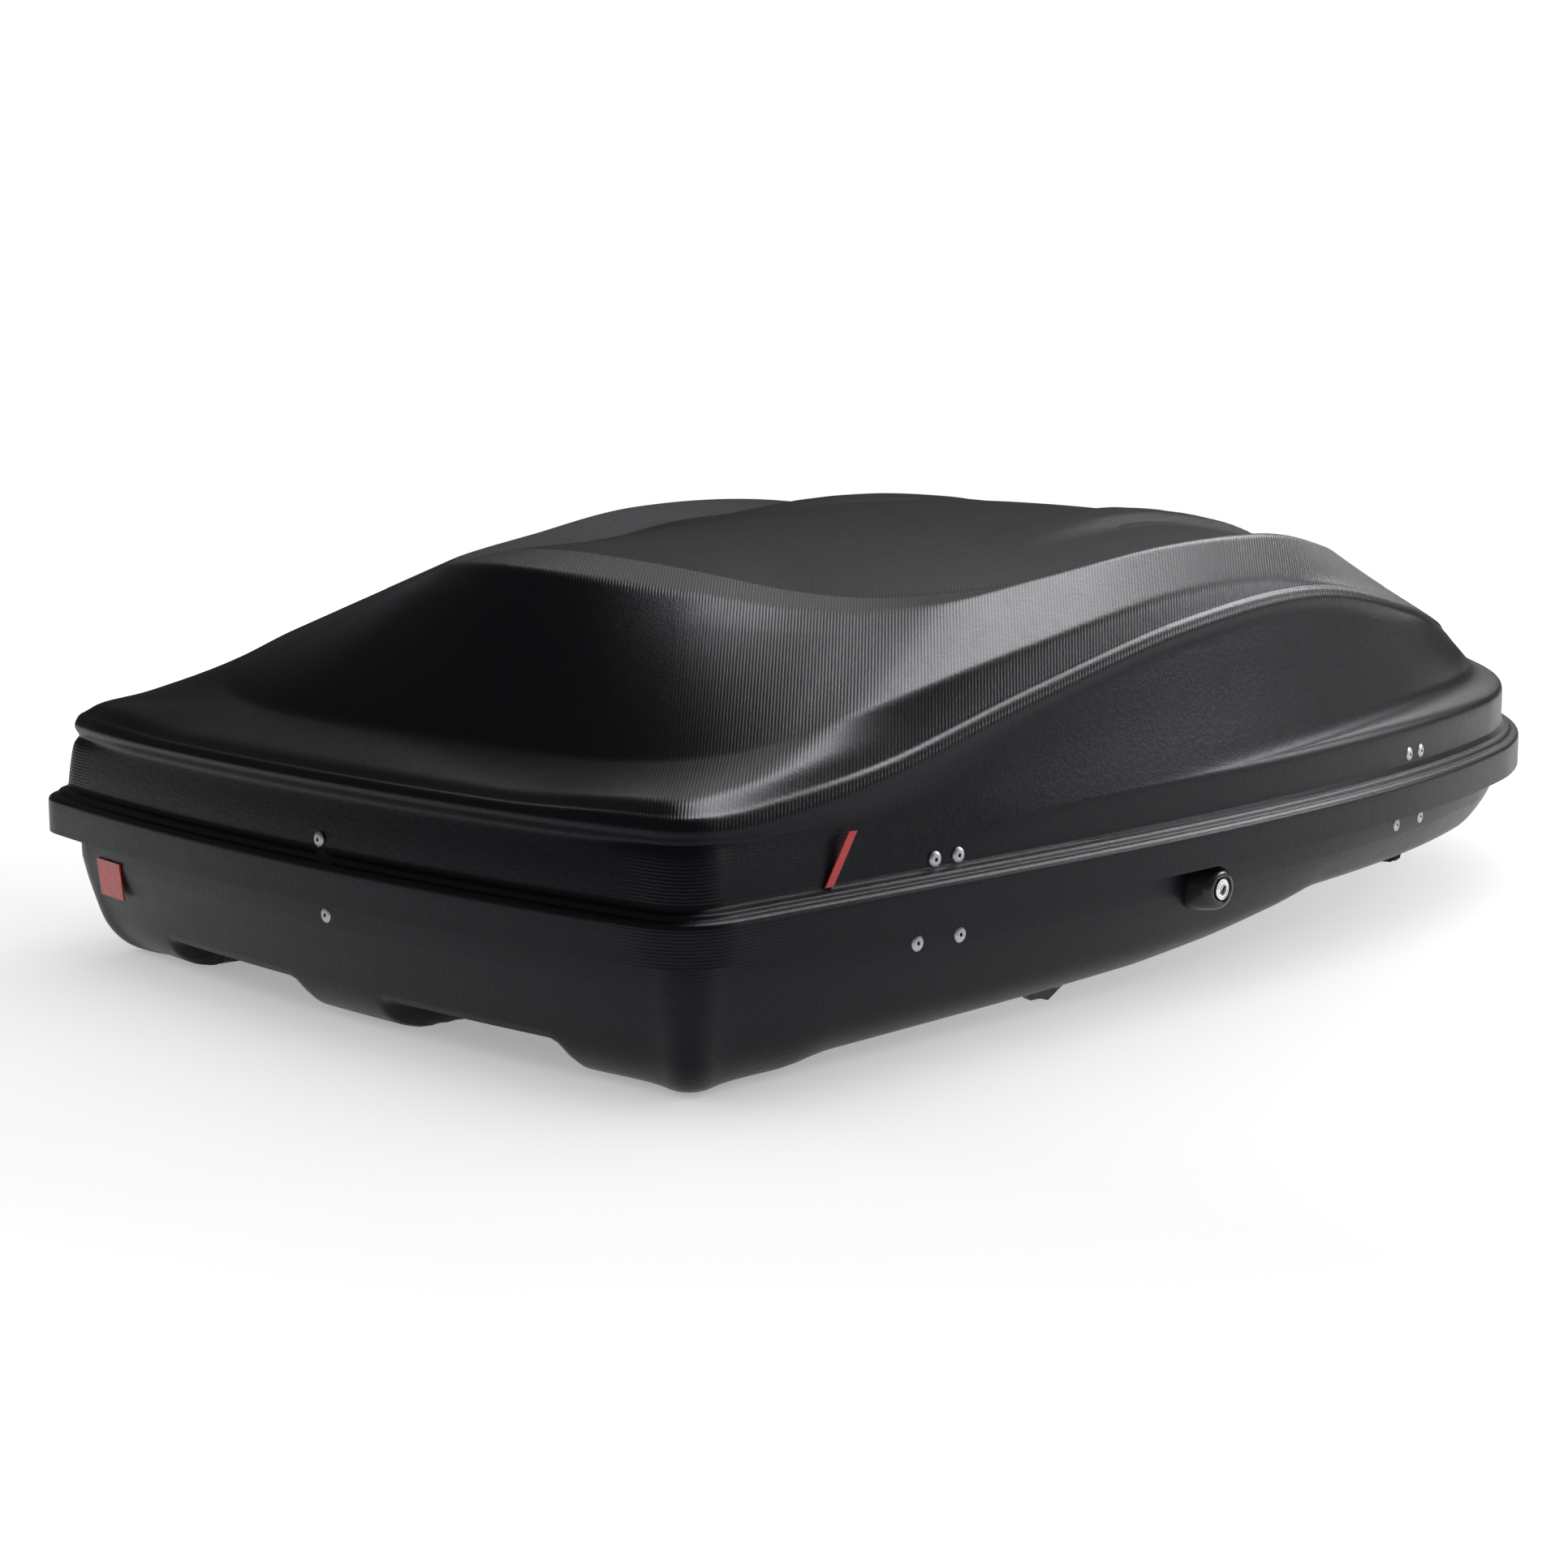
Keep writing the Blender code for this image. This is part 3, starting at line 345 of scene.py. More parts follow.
def offset(grid, distance):
    """The grid moved inwards, against its outward normals."""
    along_rings = np.gradient(grid, axis=0)
    along_columns = np.gradient(grid, axis=1)
    mirrored = grid[:, [1, -2]] * np.array([1, -1, 1])
    along_columns[:, 0] = grid[:, 1] - mirrored[:, 0]
    along_columns[:, -1] = mirrored[:, 1] - grid[:, -2]
    normal = np.cross(along_columns, along_rings)
    length = np.linalg.norm(normal, axis=2, keepdims=True)
    normal = normal / np.maximum(length, 1e-12)
    return grid + normal * distance


def mirror(grid):
    return grid * np.array([1, -1, 1])


def turned(profile, sides=48):
    """A profile of (radius, height) turned about Z, closed onto the axis."""
    bm = bmesh.new()
    rows = []
    for radius, height in profile:
        if radius == 0:
            rows.append([bm.verts.new((0, 0, height))] * sides)
        else:
            rows.append([bm.verts.new((radius * math.cos(a), radius * math.sin(a), height))
                         for a in (2 * math.pi * k / sides for k in range(sides))])
    for low, high in zip(rows, rows[1:]):
        for k in range(sides):
            corners = (low[k], low[(k + 1) % sides], high[(k + 1) % sides], high[k])
            corners = list(dict.fromkeys(corners))
            if len(corners) > 2:
                bm.faces.new(corners)
    return bm


# ---- Materials -----------------------------------------------------------------------------------
class Nodes:
    """Short calls for building a material's nodes."""

    def __init__(self, name):
        self.material = bpy.data.materials.new(name)
        self.material.use_nodes = True
        self.tree = self.material.node_tree
        self.shader = self.tree.nodes["Principled BSDF"]
        self.place = self.new("ShaderNodeTexCoord").outputs["Object"]

    def new(self, kind, **settings):
        made = self.tree.nodes.new(kind)
        for key, value in settings.items():
            setattr(made, key, value)
        return made

    def feed(self, socket, value):
        if isinstance(value, bpy.types.NodeSocket):
            self.tree.links.new(value, socket)
        else:
            socket.default_value = value

    def math(self, operation, *values):
        made = self.new("ShaderNodeMath", operation=operation)
        for socket, value in zip(made.inputs, values):
            self.feed(socket, value)
        return made.outputs[0]

    def noise(self, scale, detail=2.0, rough=0.5, where=None):
        made = self.new("ShaderNodeTexNoise")
        made.inputs["Scale"].default_value = scale
        made.inputs["Detail"].default_value = detail
        made.inputs["Roughness"].default_value = rough
        self.feed(made.inputs["Vector"], where or self.place)
        return made.outputs["Fac"]

    def stretch(self, *scale):
        made = self.new("ShaderNodeMapping")
        made.inputs["Scale"].default_value = scale
        self.feed(made.inputs["Vector"], self.place)
        return made.outputs["Vector"]

    def ramp(self, value, low, high, start=0.3, end=0.7):
        """value between start and end becomes a number between low and high."""
        made = self.new("ShaderNodeMapRange")
        made.inputs["From Min"].default_value = start
        made.inputs["From Max"].default_value = end
        made.inputs["To Min"].default_value = low
        made.inputs["To Max"].default_value = high
        self.feed(made.inputs["Value"], value)
        return made.outputs["Result"]

    def mix(self, value, one, other):
        made = self.new("ShaderNodeMix", data_type="RGBA")
        self.feed(made.inputs["Factor"], value)
        made.inputs["A"].default_value = (*one, 1)
        made.inputs["B"].default_value = (*other, 1)
        return [o for o in made.outputs if o.type == "RGBA"][0]

    def bump(self, height, distance, strength=1.0, after=None):
        made = self.new("ShaderNodeBump")
        made.inputs["Strength"].default_value = strength
        made.inputs["Distance"].default_value = distance
        self.feed(made.inputs["Height"], height)
        if after is not None:
            self.feed(made.inputs["Normal"], after)
        return made.outputs["Normal"]

    def finish(self, **sockets):
        names = {"color": "Base Color", "roughness": "Roughness", "metallic": "Metallic",
                 "normal": "Normal", "specular": "Specular IOR Level", "coat": "Coat Weight",
                 "coat_roughness": "Coat Roughness"}
        for key, value in sockets.items():
            self.feed(self.shader.inputs[names[key]], value)
        return self.material


RIB_PITCH = 0.0025
RIB_DEPTH = 0.00006
GRAIN_DEPTH = 0.00034
GRAIN_STRENGTH = 0.75
MATT_ROUGHNESS = 0.07
MATT_SPECULAR = 0.045
SHEEN_TINT = (0.86, 0.89, 1.0, 1)


def grained_plastic(name, dark, light, rough, specular):
    """Black thermoformed sheet: fine grain, faint cloudiness, and fine ribs where the mesh asks.

    The mesh's matt value adds roughness and takes away some of the shine.
    """
    n = Nodes(name)
    ribs = n.new("ShaderNodeAttribute", attribute_name="ribs").outputs["Fac"]
    phase = n.new("ShaderNodeAttribute", attribute_name="phase").outputs["Fac"]
    matt = n.new("ShaderNodeAttribute", attribute_name="matt").outputs["Fac"]
    wave = n.math("SINE", n.math("MULTIPLY", phase, 2 * math.pi / RIB_PITCH))
    wave = n.math("MULTIPLY", wave, ribs)
    grain = n.noise(620, 3, 0.6)
    pebble = n.noise(240, 2, 0.5)
    height = n.math("ADD", n.math("MULTIPLY", grain, 0.6), n.math("MULTIPLY", pebble, 0.6))
    normal = n.bump(height, GRAIN_DEPTH, GRAIN_STRENGTH)
    normal = n.bump(wave, RIB_DEPTH, 1.0, normal)
    clouds = n.noise(5, 4, 0.6)
    fine = n.noise(90, 3, 0.6)
    spread_rough = n.math("ADD", n.ramp(clouds, rough - 0.02, rough + 0.03),
                          n.ramp(fine, -0.02, 0.02))
    spread_rough = n.math("ADD", spread_rough, n.math("MULTIPLY", matt, MATT_ROUGHNESS))
    n.feed(n.shader.inputs["Specular Tint"], SHEEN_TINT)
    return n.finish(color=n.mix(n.ramp(grain, 0, 1), dark, light), roughness=spread_rough,
                    specular=n.math("SUBTRACT", specular,
                                    n.math("MULTIPLY", matt, MATT_SPECULAR)),
                    normal=normal)


def metal(name, dark, light, rough, brushed=(1, 1, 1), depth=0.00004):
    n = Nodes(name)
    streaks = n.noise(900, 3, 0.6, n.stretch(*brushed))
    spots = n.noise(150, 4, 0.6)
    return n.finish(color=n.mix(n.ramp(spots, 0, 1), dark, light), metallic=1.0,
                    roughness=n.math("ADD", n.ramp(streaks, rough - 0.06, rough + 0.06),
                                     n.ramp(spots, -0.03, 0.05)),
                    normal=n.bump(streaks, depth, 0.6))


def plain_plastic(name, dark, light, rough, specular=0.4, grain_scale=700, depth=0.0001, coat=0.0):
    n = Nodes(name)
    grain = n.noise(grain_scale, 3, 0.6)
    clouds = n.noise(40, 3, 0.5)
    sockets = {"color": n.mix(n.ramp(clouds, 0, 1), dark, light), "specular": specular,
               "roughness": n.ramp(clouds, rough - 0.04, rough + 0.05),
               "normal": n.bump(grain, depth, 0.5)}
    if coat:
        sockets.update(coat=coat, coat_roughness=0.12)
    return n.finish(**sockets)


def reflector_red(name):
    """Red moulded lens with small prism cells."""
    n = Nodes(name)
    cells = n.new("ShaderNodeTexVoronoi", distance="CHEBYCHEV")
    cells.inputs["Scale"].default_value = 420
    cells.inputs["Randomness"].default_value = 0.0
    n.feed(cells.inputs["Vector"], n.place)
    tone = n.ramp(cells.outputs["Distance"], 0, 1, 0.1, 0.6)
    return n.finish(color=n.mix(tone, (0.26, 0.007, 0.006), (0.40, 0.020, 0.015)), specular=0.5,
                    roughness=n.ramp(tone, 0.22, 0.34, 0, 1),
                    normal=n.bump(cells.outputs["Distance"], 0.0006, 0.7))


lid_plastic = grained_plastic("lid_plastic", (0.0022, 0.0024, 0.0030), (0.0040, 0.0043, 0.0052),
                              0.36, 0.17)
base_plastic = grained_plastic("base_plastic", (0.0022, 0.0024, 0.0030), (0.0040, 0.0044, 0.0054),
                               0.34, 0.18)
zinc = metal("zinc_steel", (0.52, 0.53, 0.55), (0.66, 0.67, 0.69), 0.34, (1, 6, 6))
rivet_metal = metal("rivet_aluminium", (0.40, 0.40, 0.42), (0.52, 0.52, 0.54), 0.46)
# near-black steel: the rivets' mandrel steel darkened as painted shade in the rivet holes, and
# painted shade in the lock's key slot
dark_steel_hole_shade = metal("steel_hole_shade", (0.05, 0.05, 0.055), (0.10, 0.10, 0.11), 0.5)
chrome = metal("lock_metal", (0.66, 0.67, 0.69), (0.80, 0.80, 0.82), 0.18,
               depth=0.00002)
lock_black = plain_plastic("lock_plastic", (0.006, 0.006, 0.007), (0.010, 0.010, 0.011), 0.26, 0.5)
knob_black = plain_plastic("knob_plastic", (0.010, 0.010, 0.011), (0.016, 0.016, 0.017), 0.48, 0.4,
                           500, 0.0002)
stay_black = plain_plastic("stay_paint", (0.008, 0.008, 0.009), (0.014, 0.014, 0.015), 0.24, 0.5,
                           900, 0.00004, coat=0.3)
red_trim = plain_plastic("red_trim", (0.36, 0.012, 0.010), (0.44, 0.020, 0.015), 0.34, 0.5, 600,
                         0.00005)
reflector = reflector_red("reflector_red")


# ---- Lid -----------------------------------------------------------------------------------------
RIB_START, RIB_END = -0.15, 0.30
RIB_HALF_WIDTH = 0.026
RIB_HEIGHT = 0.0075


def roof_rib(x, y):
    """Height of the two low ribs that run along the roof, at a plan point."""
    middle = 0.196 - 0.13 * max(x + 0.20, 0.0)
    across = 1 - step(RIB_HALF_WIDTH - 0.008, RIB_HALF_WIDTH + 0.008, abs(abs(y) - middle))
    length = step(RIB_START, RIB_START + 0.20, x) * (1 - step(RIB_END - 0.10, RIB_END + 0.04, x))
    return RIB_HEIGHT * across * length


def lid_keys(s):
    """The lid's section at station s, from the band's lower edge to the valley behind the crest."""
    lip_inset = smooth(STATIONS, LIP_INSET, s)
    lip = smooth(STATIONS, LIP_HEIGHT, s)
    inner_inset = WALL_INSET + smooth(STATIONS, SHOULDER_WIDTH, s)
    inner_z = 0.074 + smooth(STATIONS, SHOULDER_RISE, s)
    rear = 1 - step(0.36, 0.60, s)
    behind = 1 - step(0.60, 0.90, s)
    nose = step(1.30, 1.60, s)
    wedge = step(0.85, 1.30, s)
    corner_lift = step(0.22, 0.36, s) * (1 - step(0.50, 0.66, s))
    lean = 0.0045 * behind
    walls = [
        ((0.0, 0.0), 0, 0, 2),
        ((0.0, 0.0290), 0.0032, 5, 0),
        ((0.0044, 0.0318), 0.0016, 4, 0),
        ((0.0072, 0.0320), 0.0012, 4, 0),
        ((0.0098, 0.0356), 0.0022, 5, 0),
        ((WALL_INSET - 0.001, 0.0378), 0.0030, 5, 3),
        ((WALL_INSET - 0.0010 + 0.0020 * behind, 0.070 - 0.016 * behind + 0.007 * wedge),
         0.007 + 0.005 * behind, 5, 1),
        ((inner_inset + lean, inner_z + 0.002 * wedge), 0.010 + 0.006 * rear, 5, 3),
        (((inner_inset + lean + lip_inset) / 2 + 0.003 - 0.008 * nose,
          (inner_z + lip - 0.013) / 2 + 0.008 * nose), 0.03, 5, 3),
        ((lip_inset + 0.0022 + 0.0022 * rear - 0.0062 * nose, lip - 0.0160 + 0.005 * nose),
         0.008 + 0.006 * rear, 5, 0),
        ((lip_inset - 0.0015 * rear, lip - 0.0078), 0.005, 5, 0),
        ((lip_inset + 0.0036, lip - 0.0010 + 0.0025 * corner_lift), 0.0045, 5, 0),
        ((lip_inset + 0.0085, lip + 0.0012 - 0.0024 * rear + 0.0045 * corner_lift), 0.0020, 4, 0),
        ((lip_inset + 0.0200, lip + 0.0018 + 0.0037 * rear), 0.010, 5, 6),
    ]
    keys = []
    for (inset, z), radius, corner, way in walls:
        keys.append((Vector((*rim_point(s, inset), RIM_Z + z)), radius, corner, way))
    raised = Vector((0, 0, RIM_Z))
    foot, crest, valley = (along(curve, s) + raised for curve in (FOOT, CREST, VALLEY))
    crown, radius, corner, way = keys[-1]
    ahead = keys[-2][0].lerp(foot, 0.25)
    ahead.z += 0.0006
    crown = ahead.lerp(crown, rear)
    crown.z += 0.0065 * corner_lift
    keys[-1] = (crown, radius, corner, way)
    flank = foot.lerp(crest, 0.60)
    flank.z += 0.004 * (1 - step(0.40, 0.62, s))
    keys += [(foot, 0.007, 7, 4), (flank, 0.05, 7, 4), (crest, 0.006, 7, 4),
             (valley, 0.005, 7, 0)]
    return keys, valley


DOME_STEPS = 34
DOME_FULLNESS = 2.0


def lid_section(s):
    """All points of the section at station s, and how many of them lie on the walls up to the
    valley.
    """
    keys, valley = lid_keys(s)
    spine_x, spine_z = (smooth(STATIONS, values, s) for values in zip(*SPINE))
    spine = Vector((spine_x, 0, RIM_Z + spine_z))
    first = valley.lerp(spine, 1.5 / DOME_STEPS)
    points = rounded(keys + [(first, 0, 0, 0)])[:-1]
    wall_points = len(points)
    for k in range(2, DOME_STEPS + 1):
        t = k / DOME_STEPS
        p = valley.lerp(spine, t)
        p.z = valley.z + (spine.z - valley.z) * (1 - (1 - t) ** DOME_FULLNESS)
        p.z += roof_rib(p.x, p.y)
        points.append(p)
    return points, wall_points


# Rings of the lid's grid: the lip's is counted from the band, the others back from the valley.
LIP_RING = 55
TIER_LOW_TO_VALLEY = 38
TIER_TOP_TO_VALLEY = 22
CREST_TO_VALLEY = 18
DOME_EDGE_TO_VALLEY = 3
FIRST_INNER_RING = 26
TIER_MATT = 0.6
DOME_MATT = 2.2
NOSE_RIBS = 0.7
DOME_RIBS = 0.3


def build_lid():
    stations = spread((0, 0.34, 0.011), (0.34, 0.50, 0.004), (0.50, 1.50, 0.012),
                      (1.50, 2.0, 0.009))
    sections = [lid_section(s) for s in stations]
    wall_points = sections[0][1]
    grid = np.array([[tuple(p) for p in points] for points, _ in sections]).transpose(1, 0, 2)
    rings = grid.shape[0]
    crest_ring = wall_points - CREST_TO_VALLEY
    tier = slice(wall_points - TIER_LOW_TO_VALLEY, wall_points - TIER_TOP_TO_VALLEY)
    dome = slice(wall_points - DOME_EDGE_TO_VALLEY, None)
    ribs, phase, matt = (np.zeros(grid.shape[:2]) for _ in range(3))
    for c, s in enumerate(stations):
        matt[tier, c] = TIER_MATT * (1 - step(0.42, 0.56, s))
        matt[dome, c] = DOME_MATT
        corner = step(0.33, 0.40, s) * (1 - step(0.50, 0.66, s))
        nose = step(1.45, 1.75, s)
        top = step(0.30, 0.44, s)
        for r in range(rings):
            x, y, z = grid[r, c]
            if r < LIP_RING:
                share = 1.0 if r < LIP_RING - 3 else 0.0
                ribs[r, c] = share * max(corner, NOSE_RIBS * nose)
                phase[r, c] = z
            else:
                share = 1.0 if r > LIP_RING + 1 else 0.0
                ribs[r, c] = share * (top if r < crest_ring
                                      else 1.0 if r < wall_points else DOME_RIBS)
                phase[r, c] = (x + abs(y)) / math.sqrt(2)
    inner = offset(grid, LID_SHEET)[[0, 2, *range(FIRST_INNER_RING, rings - 1, 5), rings - 1]]
    inner[-1, :, 1] = 0.0
    lid = shell("lid_skin", (grid, mirror(grid)), (inner, mirror(inner)), (ribs, phase, matt),
                lid_plastic)
    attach(lid, "lid")
    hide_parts("lid_shell")


# ---- Base ----------------------------------------------------------------------------------------
def underside(x):
    """Height of the floor between the channels, eased at its bends."""
    xs, zs = zip(*UNDERSIDE)
    shifts = (-0.010, -0.005, 0, 0.005, 0.010)
    return sum(float(np.interp(x + shift, xs, zs)) for shift in shifts) / len(shifts)


def carve(x, y, z):
    """z on the bottom after the two channels, the ridge between them and the feet are formed."""
    far = abs(y)
    channel = step(0.051, 0.066, far) * (1 - step(0.248, 0.263, far))
    z += channel * max(0.0, CHANNEL_TOP - z)
    ridge = (1 - step(0.044, 0.056, far)) * step(-0.61, -0.585, x) * (1 - step(0.285, 0.31, x))
    z += ridge * min(0.0, RIDGE_BOTTOM - z)
    for foot_x, foot_y in FEET:
        away = math.hypot(x - foot_x, far - foot_y)
        z *= step(0.010, 0.024, away)
    return z


def down_wall(values, t):
    """A value of the base's wall at share t of the way down: straight at first, then smooth."""
    shares = tuple(np.linspace(0, 1, len(values)))
    if t <= shares[1]:
        return values[0] + (values[1] - values[0]) * t / shares[1]
    return smooth(shares[1:], values[1:], t)


WALL_STEPS = 21
FLOOR_STEPS = 44
INNER_FLOOR_STEPS = 30
FLOOR_REACH = 0.42


def base_half(stations, flange, extra, start):
    """Rings of one half, from the flange (or the wall's top) down the wall and across the floor."""
    columns = []
    insets, shares = zip(*BASE_WALL)
    floor_steps = INNER_FLOOR_STEPS if extra else FLOOR_STEPS
    for s in stations:
        points = [(*rim_point(s, inset, more), z) for inset, more, z in start(flange)]
        for k in range(1, WALL_STEPS + 1):
            inset = down_wall(insets, k / WALL_STEPS)
            share = min(max(down_wall(shares, k / WALL_STEPS), 0.0), 1.0)
            x, y = rim_point(s, inset, extra)
            low = underside(x)
            points.append((x, y, carve(x, y, low + share * (WALL_Z - low)) + extra))
        x0, y0 = points[-1][:2]
        target = min(max(x0, -FLOOR_REACH), FLOOR_REACH)
        for k in range(1, floor_steps + 1):
            t = k / floor_steps
            x, y = x0 + (target - x0) * t, y0 * (1 - t)
            points.append((x, y, carve(x, y, underside(x)) + extra))
        columns.append(points)
    return np.array(columns).transpose(1, 0, 2)


def build_base():
    stations = spread((0, 0.04, 0.011), (0.04, 0.09, 0.005), (0.09, 0.235, 0.011),
                      (0.235, 0.29, 0.005), (0.29, 0.34, 0.011), (0.34, 0.50, 0.005),
                      (0.50, 1.50, 0.013), (1.50, 2.0, 0.010))

    def outer_start(flange):
        return ((flange, 0, 0.1235), (flange, 0, 0.1200), (BASE_INSET - 0.0015, 0, 0.1200),
                (BASE_INSET, 0, 0.1185), (BASE_INSET, 0, 0.112), (BASE_INSET, 0, 0.106),
                (0.0262, 0, 0.096), (0.0265, 0, WALL_Z))

    def inner_start(flange):
        return ((BASE_INSET, BASE_SHEET, 0.1235), (BASE_INSET, BASE_SHEET, 0.106),
                (0.0265, BASE_SHEET, WALL_Z))

    outer = (base_half(stations, HINGE_SIDE_FLANGE, 0, outer_start),
             mirror(base_half(stations, FLANGE_INSET, 0, outer_start)))
    inner = base_half(stations, 0, BASE_SHEET, inner_start)
    ribs, phase = np.zeros(outer[0].shape[:2]), np.zeros(outer[0].shape[:2])
    for c, s in enumerate(stations):
        ribs[:, c] = 0.8 * step(0.33, 0.40, s) * (1 - step(0.50, 0.66, s))
        phase[:, c] = outer[0][:, c, 2]
    base = shell("base_skin", outer, (inner, mirror(inner)), (ribs, phase, 0 * phase),
                 base_plastic)
    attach(base, "base")
    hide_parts("base_shell")


# ---- Rivets and lock -----------------------------------------------------------------------------
def rim_face(s, inset, z, side):
    """Point on a wall at station s, with the direction that faces outwards there."""
    x, y = rim_point(s, inset)
    outer_x, outer_y = rim_point(s, 0.0)
    out = Vector((outer_x - x, outer_y - y, 0)).normalized()
    return Vector((x, side * y, z)), Vector((out.x, side * out.y, 0))


# radius of the rivet's hole, whose faces get the near-black steel as painted shade
RIVET_HOLE_SHADE_RADIUS = 0.0017
RIVET_LIFT = 0.0006


def build_rivets():
    head = ((0, 0.0004), (0.0011, 0.0004), (0.0013, 0.0008), (0.0014, 0.0015), (0.0017, 0.0018),
            (0.0030, 0.0018), (0.0046, 0.0015), (0.0056, 0.0011), (0.0062, 0.0006),
            (0.0064, 0.0001), (0.0063, -0.0003), (0, -0.0004))
    places = [("lid_rear", 0.020, WALL_INSET, 0.1535), ("base_rear", 0.013, 0.0275, 0.0925)]
    for row, inset, z, xs in (("lid_rear_latch", WALL_INSET, 0.153, (-0.430, -0.405)),
                              ("base_rear_latch", 0.0275, 0.090, (-0.439, -0.393)),
                              ("lid_front_latch", WALL_INSET, 0.158, (0.235, 0.260)),
                              ("base_front_latch", 0.0275, 0.094, (0.232, 0.285))):
        places += [(f"{row}_{end}", station_of(x), inset, z) for end, x in zip("ab", xs)]
    for name, s, inset, z in places:
        where, out = rim_face(s, inset, z, -1)
        bm = turned(head, 40)
        # faces in the rivet's hole take the near-black steel: painted shade in the hole
        for face in bm.faces:
            if max(math.hypot(v.co.x, v.co.y) for v in face.verts) < RIVET_HOLE_SHADE_RADIUS:
                face.material_index = 1
        turn = out.to_track_quat("Z", "Y").to_matrix().to_4x4()
        rivet = place(f"rivet_head_{name}", bm, rivet_metal, dark_steel_hole_shade,
                      matrix=Matrix.Translation(where + out * RIVET_LIFT) @ turn)
        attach(rivet, name.split("_")[0])
        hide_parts(f"rivet_{name}")


# The housing is a turned form made squarer and wider. Its foot follows the base's leaning wall.
LOCK_FACE = 0.0570
LOCK_SIDES = 64
LOCK_SQUARENESS = 3.2
LOCK_WIDENING = 1.12
LOCK_FOOT_TOP = 0.0385
WALL_AWAY = 0.0352
WALL_LEAN = 0.19


def build_lock():
    """The lock's black housing and its bright cylinder with a key slot."""
    frame_of_latch = Matrix.Translation(LATCH_ORIGIN) @ Matrix.Rotation(LATCH_ANGLE, 4, "Z")
    outwards = frame_of_latch @ Matrix.Rotation(math.pi / 2, 4, "X")
    face = LOCK_FACE
    profile = ((0.0095, 0.0370), (0.0186, 0.0370), (0.0184, 0.0400), (0.0178, 0.0440),
               (0.0174, 0.0500), (0.0168, 0.0535), (0.0155, 0.0560), (0.0138, face),
               (0.0120, face + 0.0006), (0.0112, face + 0.0004), (0.0108, face - 0.0010),
               (0.0095, face - 0.0012))
    bm = turned(profile, LOCK_SIDES)
    rows = len(profile)
    ends = [list(bm.verts)[i * LOCK_SIDES:(i + 1) * LOCK_SIDES] for i in (0, rows - 1)]
    for k in range(LOCK_SIDES):
        j = (k + 1) % LOCK_SIDES
        bm.faces.new((ends[1][k], ends[1][j], ends[0][j], ends[0][k]))
    for vert in bm.verts:
        x, y, z = vert.co
        radius = math.hypot(x, y)
        if radius > 0.0125:
            angle = math.atan2(y, x)
            square = (abs(math.cos(angle)) ** LOCK_SQUARENESS
                      + abs(math.sin(angle)) ** LOCK_SQUARENESS) ** (-1 / LOCK_SQUARENESS)
            grow = 1 + (square - 1) * step(face + 0.0005, face - 0.012, z)
            vert.co.x, vert.co.y = x * grow, y * grow
        vert.co.x *= LOCK_WIDENING
        if z < LOCK_FOOT_TOP:
            vert.co.z = WALL_AWAY + WALL_LEAN * vert.co.y
    housing = place("lock_body", bm, lock_black, matrix=outwards)
    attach(housing, "base")
    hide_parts("lock_housing")

    barrel = ((0, 0.0120), (0.0025, 0.0120), (0.0025, 0.0165), (0.0078, 0.0165),
              (0.0078, face - 0.0020), (0.0088, face - 0.0016), (0.0088, face + 0.0002),
              (0.0085, face + 0.0006), (0.0074, face + 0.0007), (0.0071, face + 0.0004),
              (0.0067, face + 0.0004), (0.0064, face + 0.0007), (0, face + 0.0008))
    turn = Matrix.Rotation(-math.radians(45), 4, "Y")
    cylinder_place = Matrix.Translation(LATCH_ORIGIN) @ Matrix.Rotation(LATCH_ANGLE, 4, "Z") @ turn
    cylinder = place("lock_barrel", turned(barrel, 48), chrome, dark_steel_hole_shade,
                     matrix=cylinder_place @ Matrix.Rotation(math.pi / 2, 4, "X"))
    slot = bmesh.new()
    bmesh.ops.create_cube(slot, size=1.0)
    for vert in slot.verts:
        vert.co = (vert.co.x * 0.0080, -face + vert.co.y * 0.0060, vert.co.z * 0.0018)
    # the key slot's faces take the near-black steel: painted shade in the slot
    knife = place("key_slot", slot, dark_steel_hole_shade, matrix=cylinder_place)
    modifier = cylinder.modifiers.new("slot", "BOOLEAN")
    modifier.operation = "DIFFERENCE"
    modifier.object = knife
    modifier.material_mode = "TRANSFER"
    depsgraph = bpy.context.evaluated_depsgraph_get()
    cut_mesh = bpy.data.meshes.new_from_object(cylinder.evaluated_get(depsgraph))
    cylinder.modifiers.clear()
    cylinder.data = cut_mesh
    bpy.data.objects.remove(knife)
    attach(cylinder, "lock_core")
    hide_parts("lock_cylinder")


build_lid()
build_base()
build_rivets()
build_lock()

# ---- Finishes of the nodes that keep their shape -------------------------------------------------
FINISHES = (("knob_", knob_black), ("stay_tube", stay_black), ("side_mark", red_trim),
            ("rear_reflector", reflector), ("", zinc))
for name, node in nodes.items():
    finish = next(finish for start, finish in FINISHES if name.startswith(start))
    node.data.materials.clear()
    node.data.materials.append(finish)


# ---- Studio --------------------------------------------------------------------------------------
FLOOR_RADIUS = 3.4
FAR_WALL = (0.66, 0.75, 0.0)
FAR_WALL_GLOW = 0.05
ROOM_GLOW = 0.08
EVEN_LIGHT = 0.78


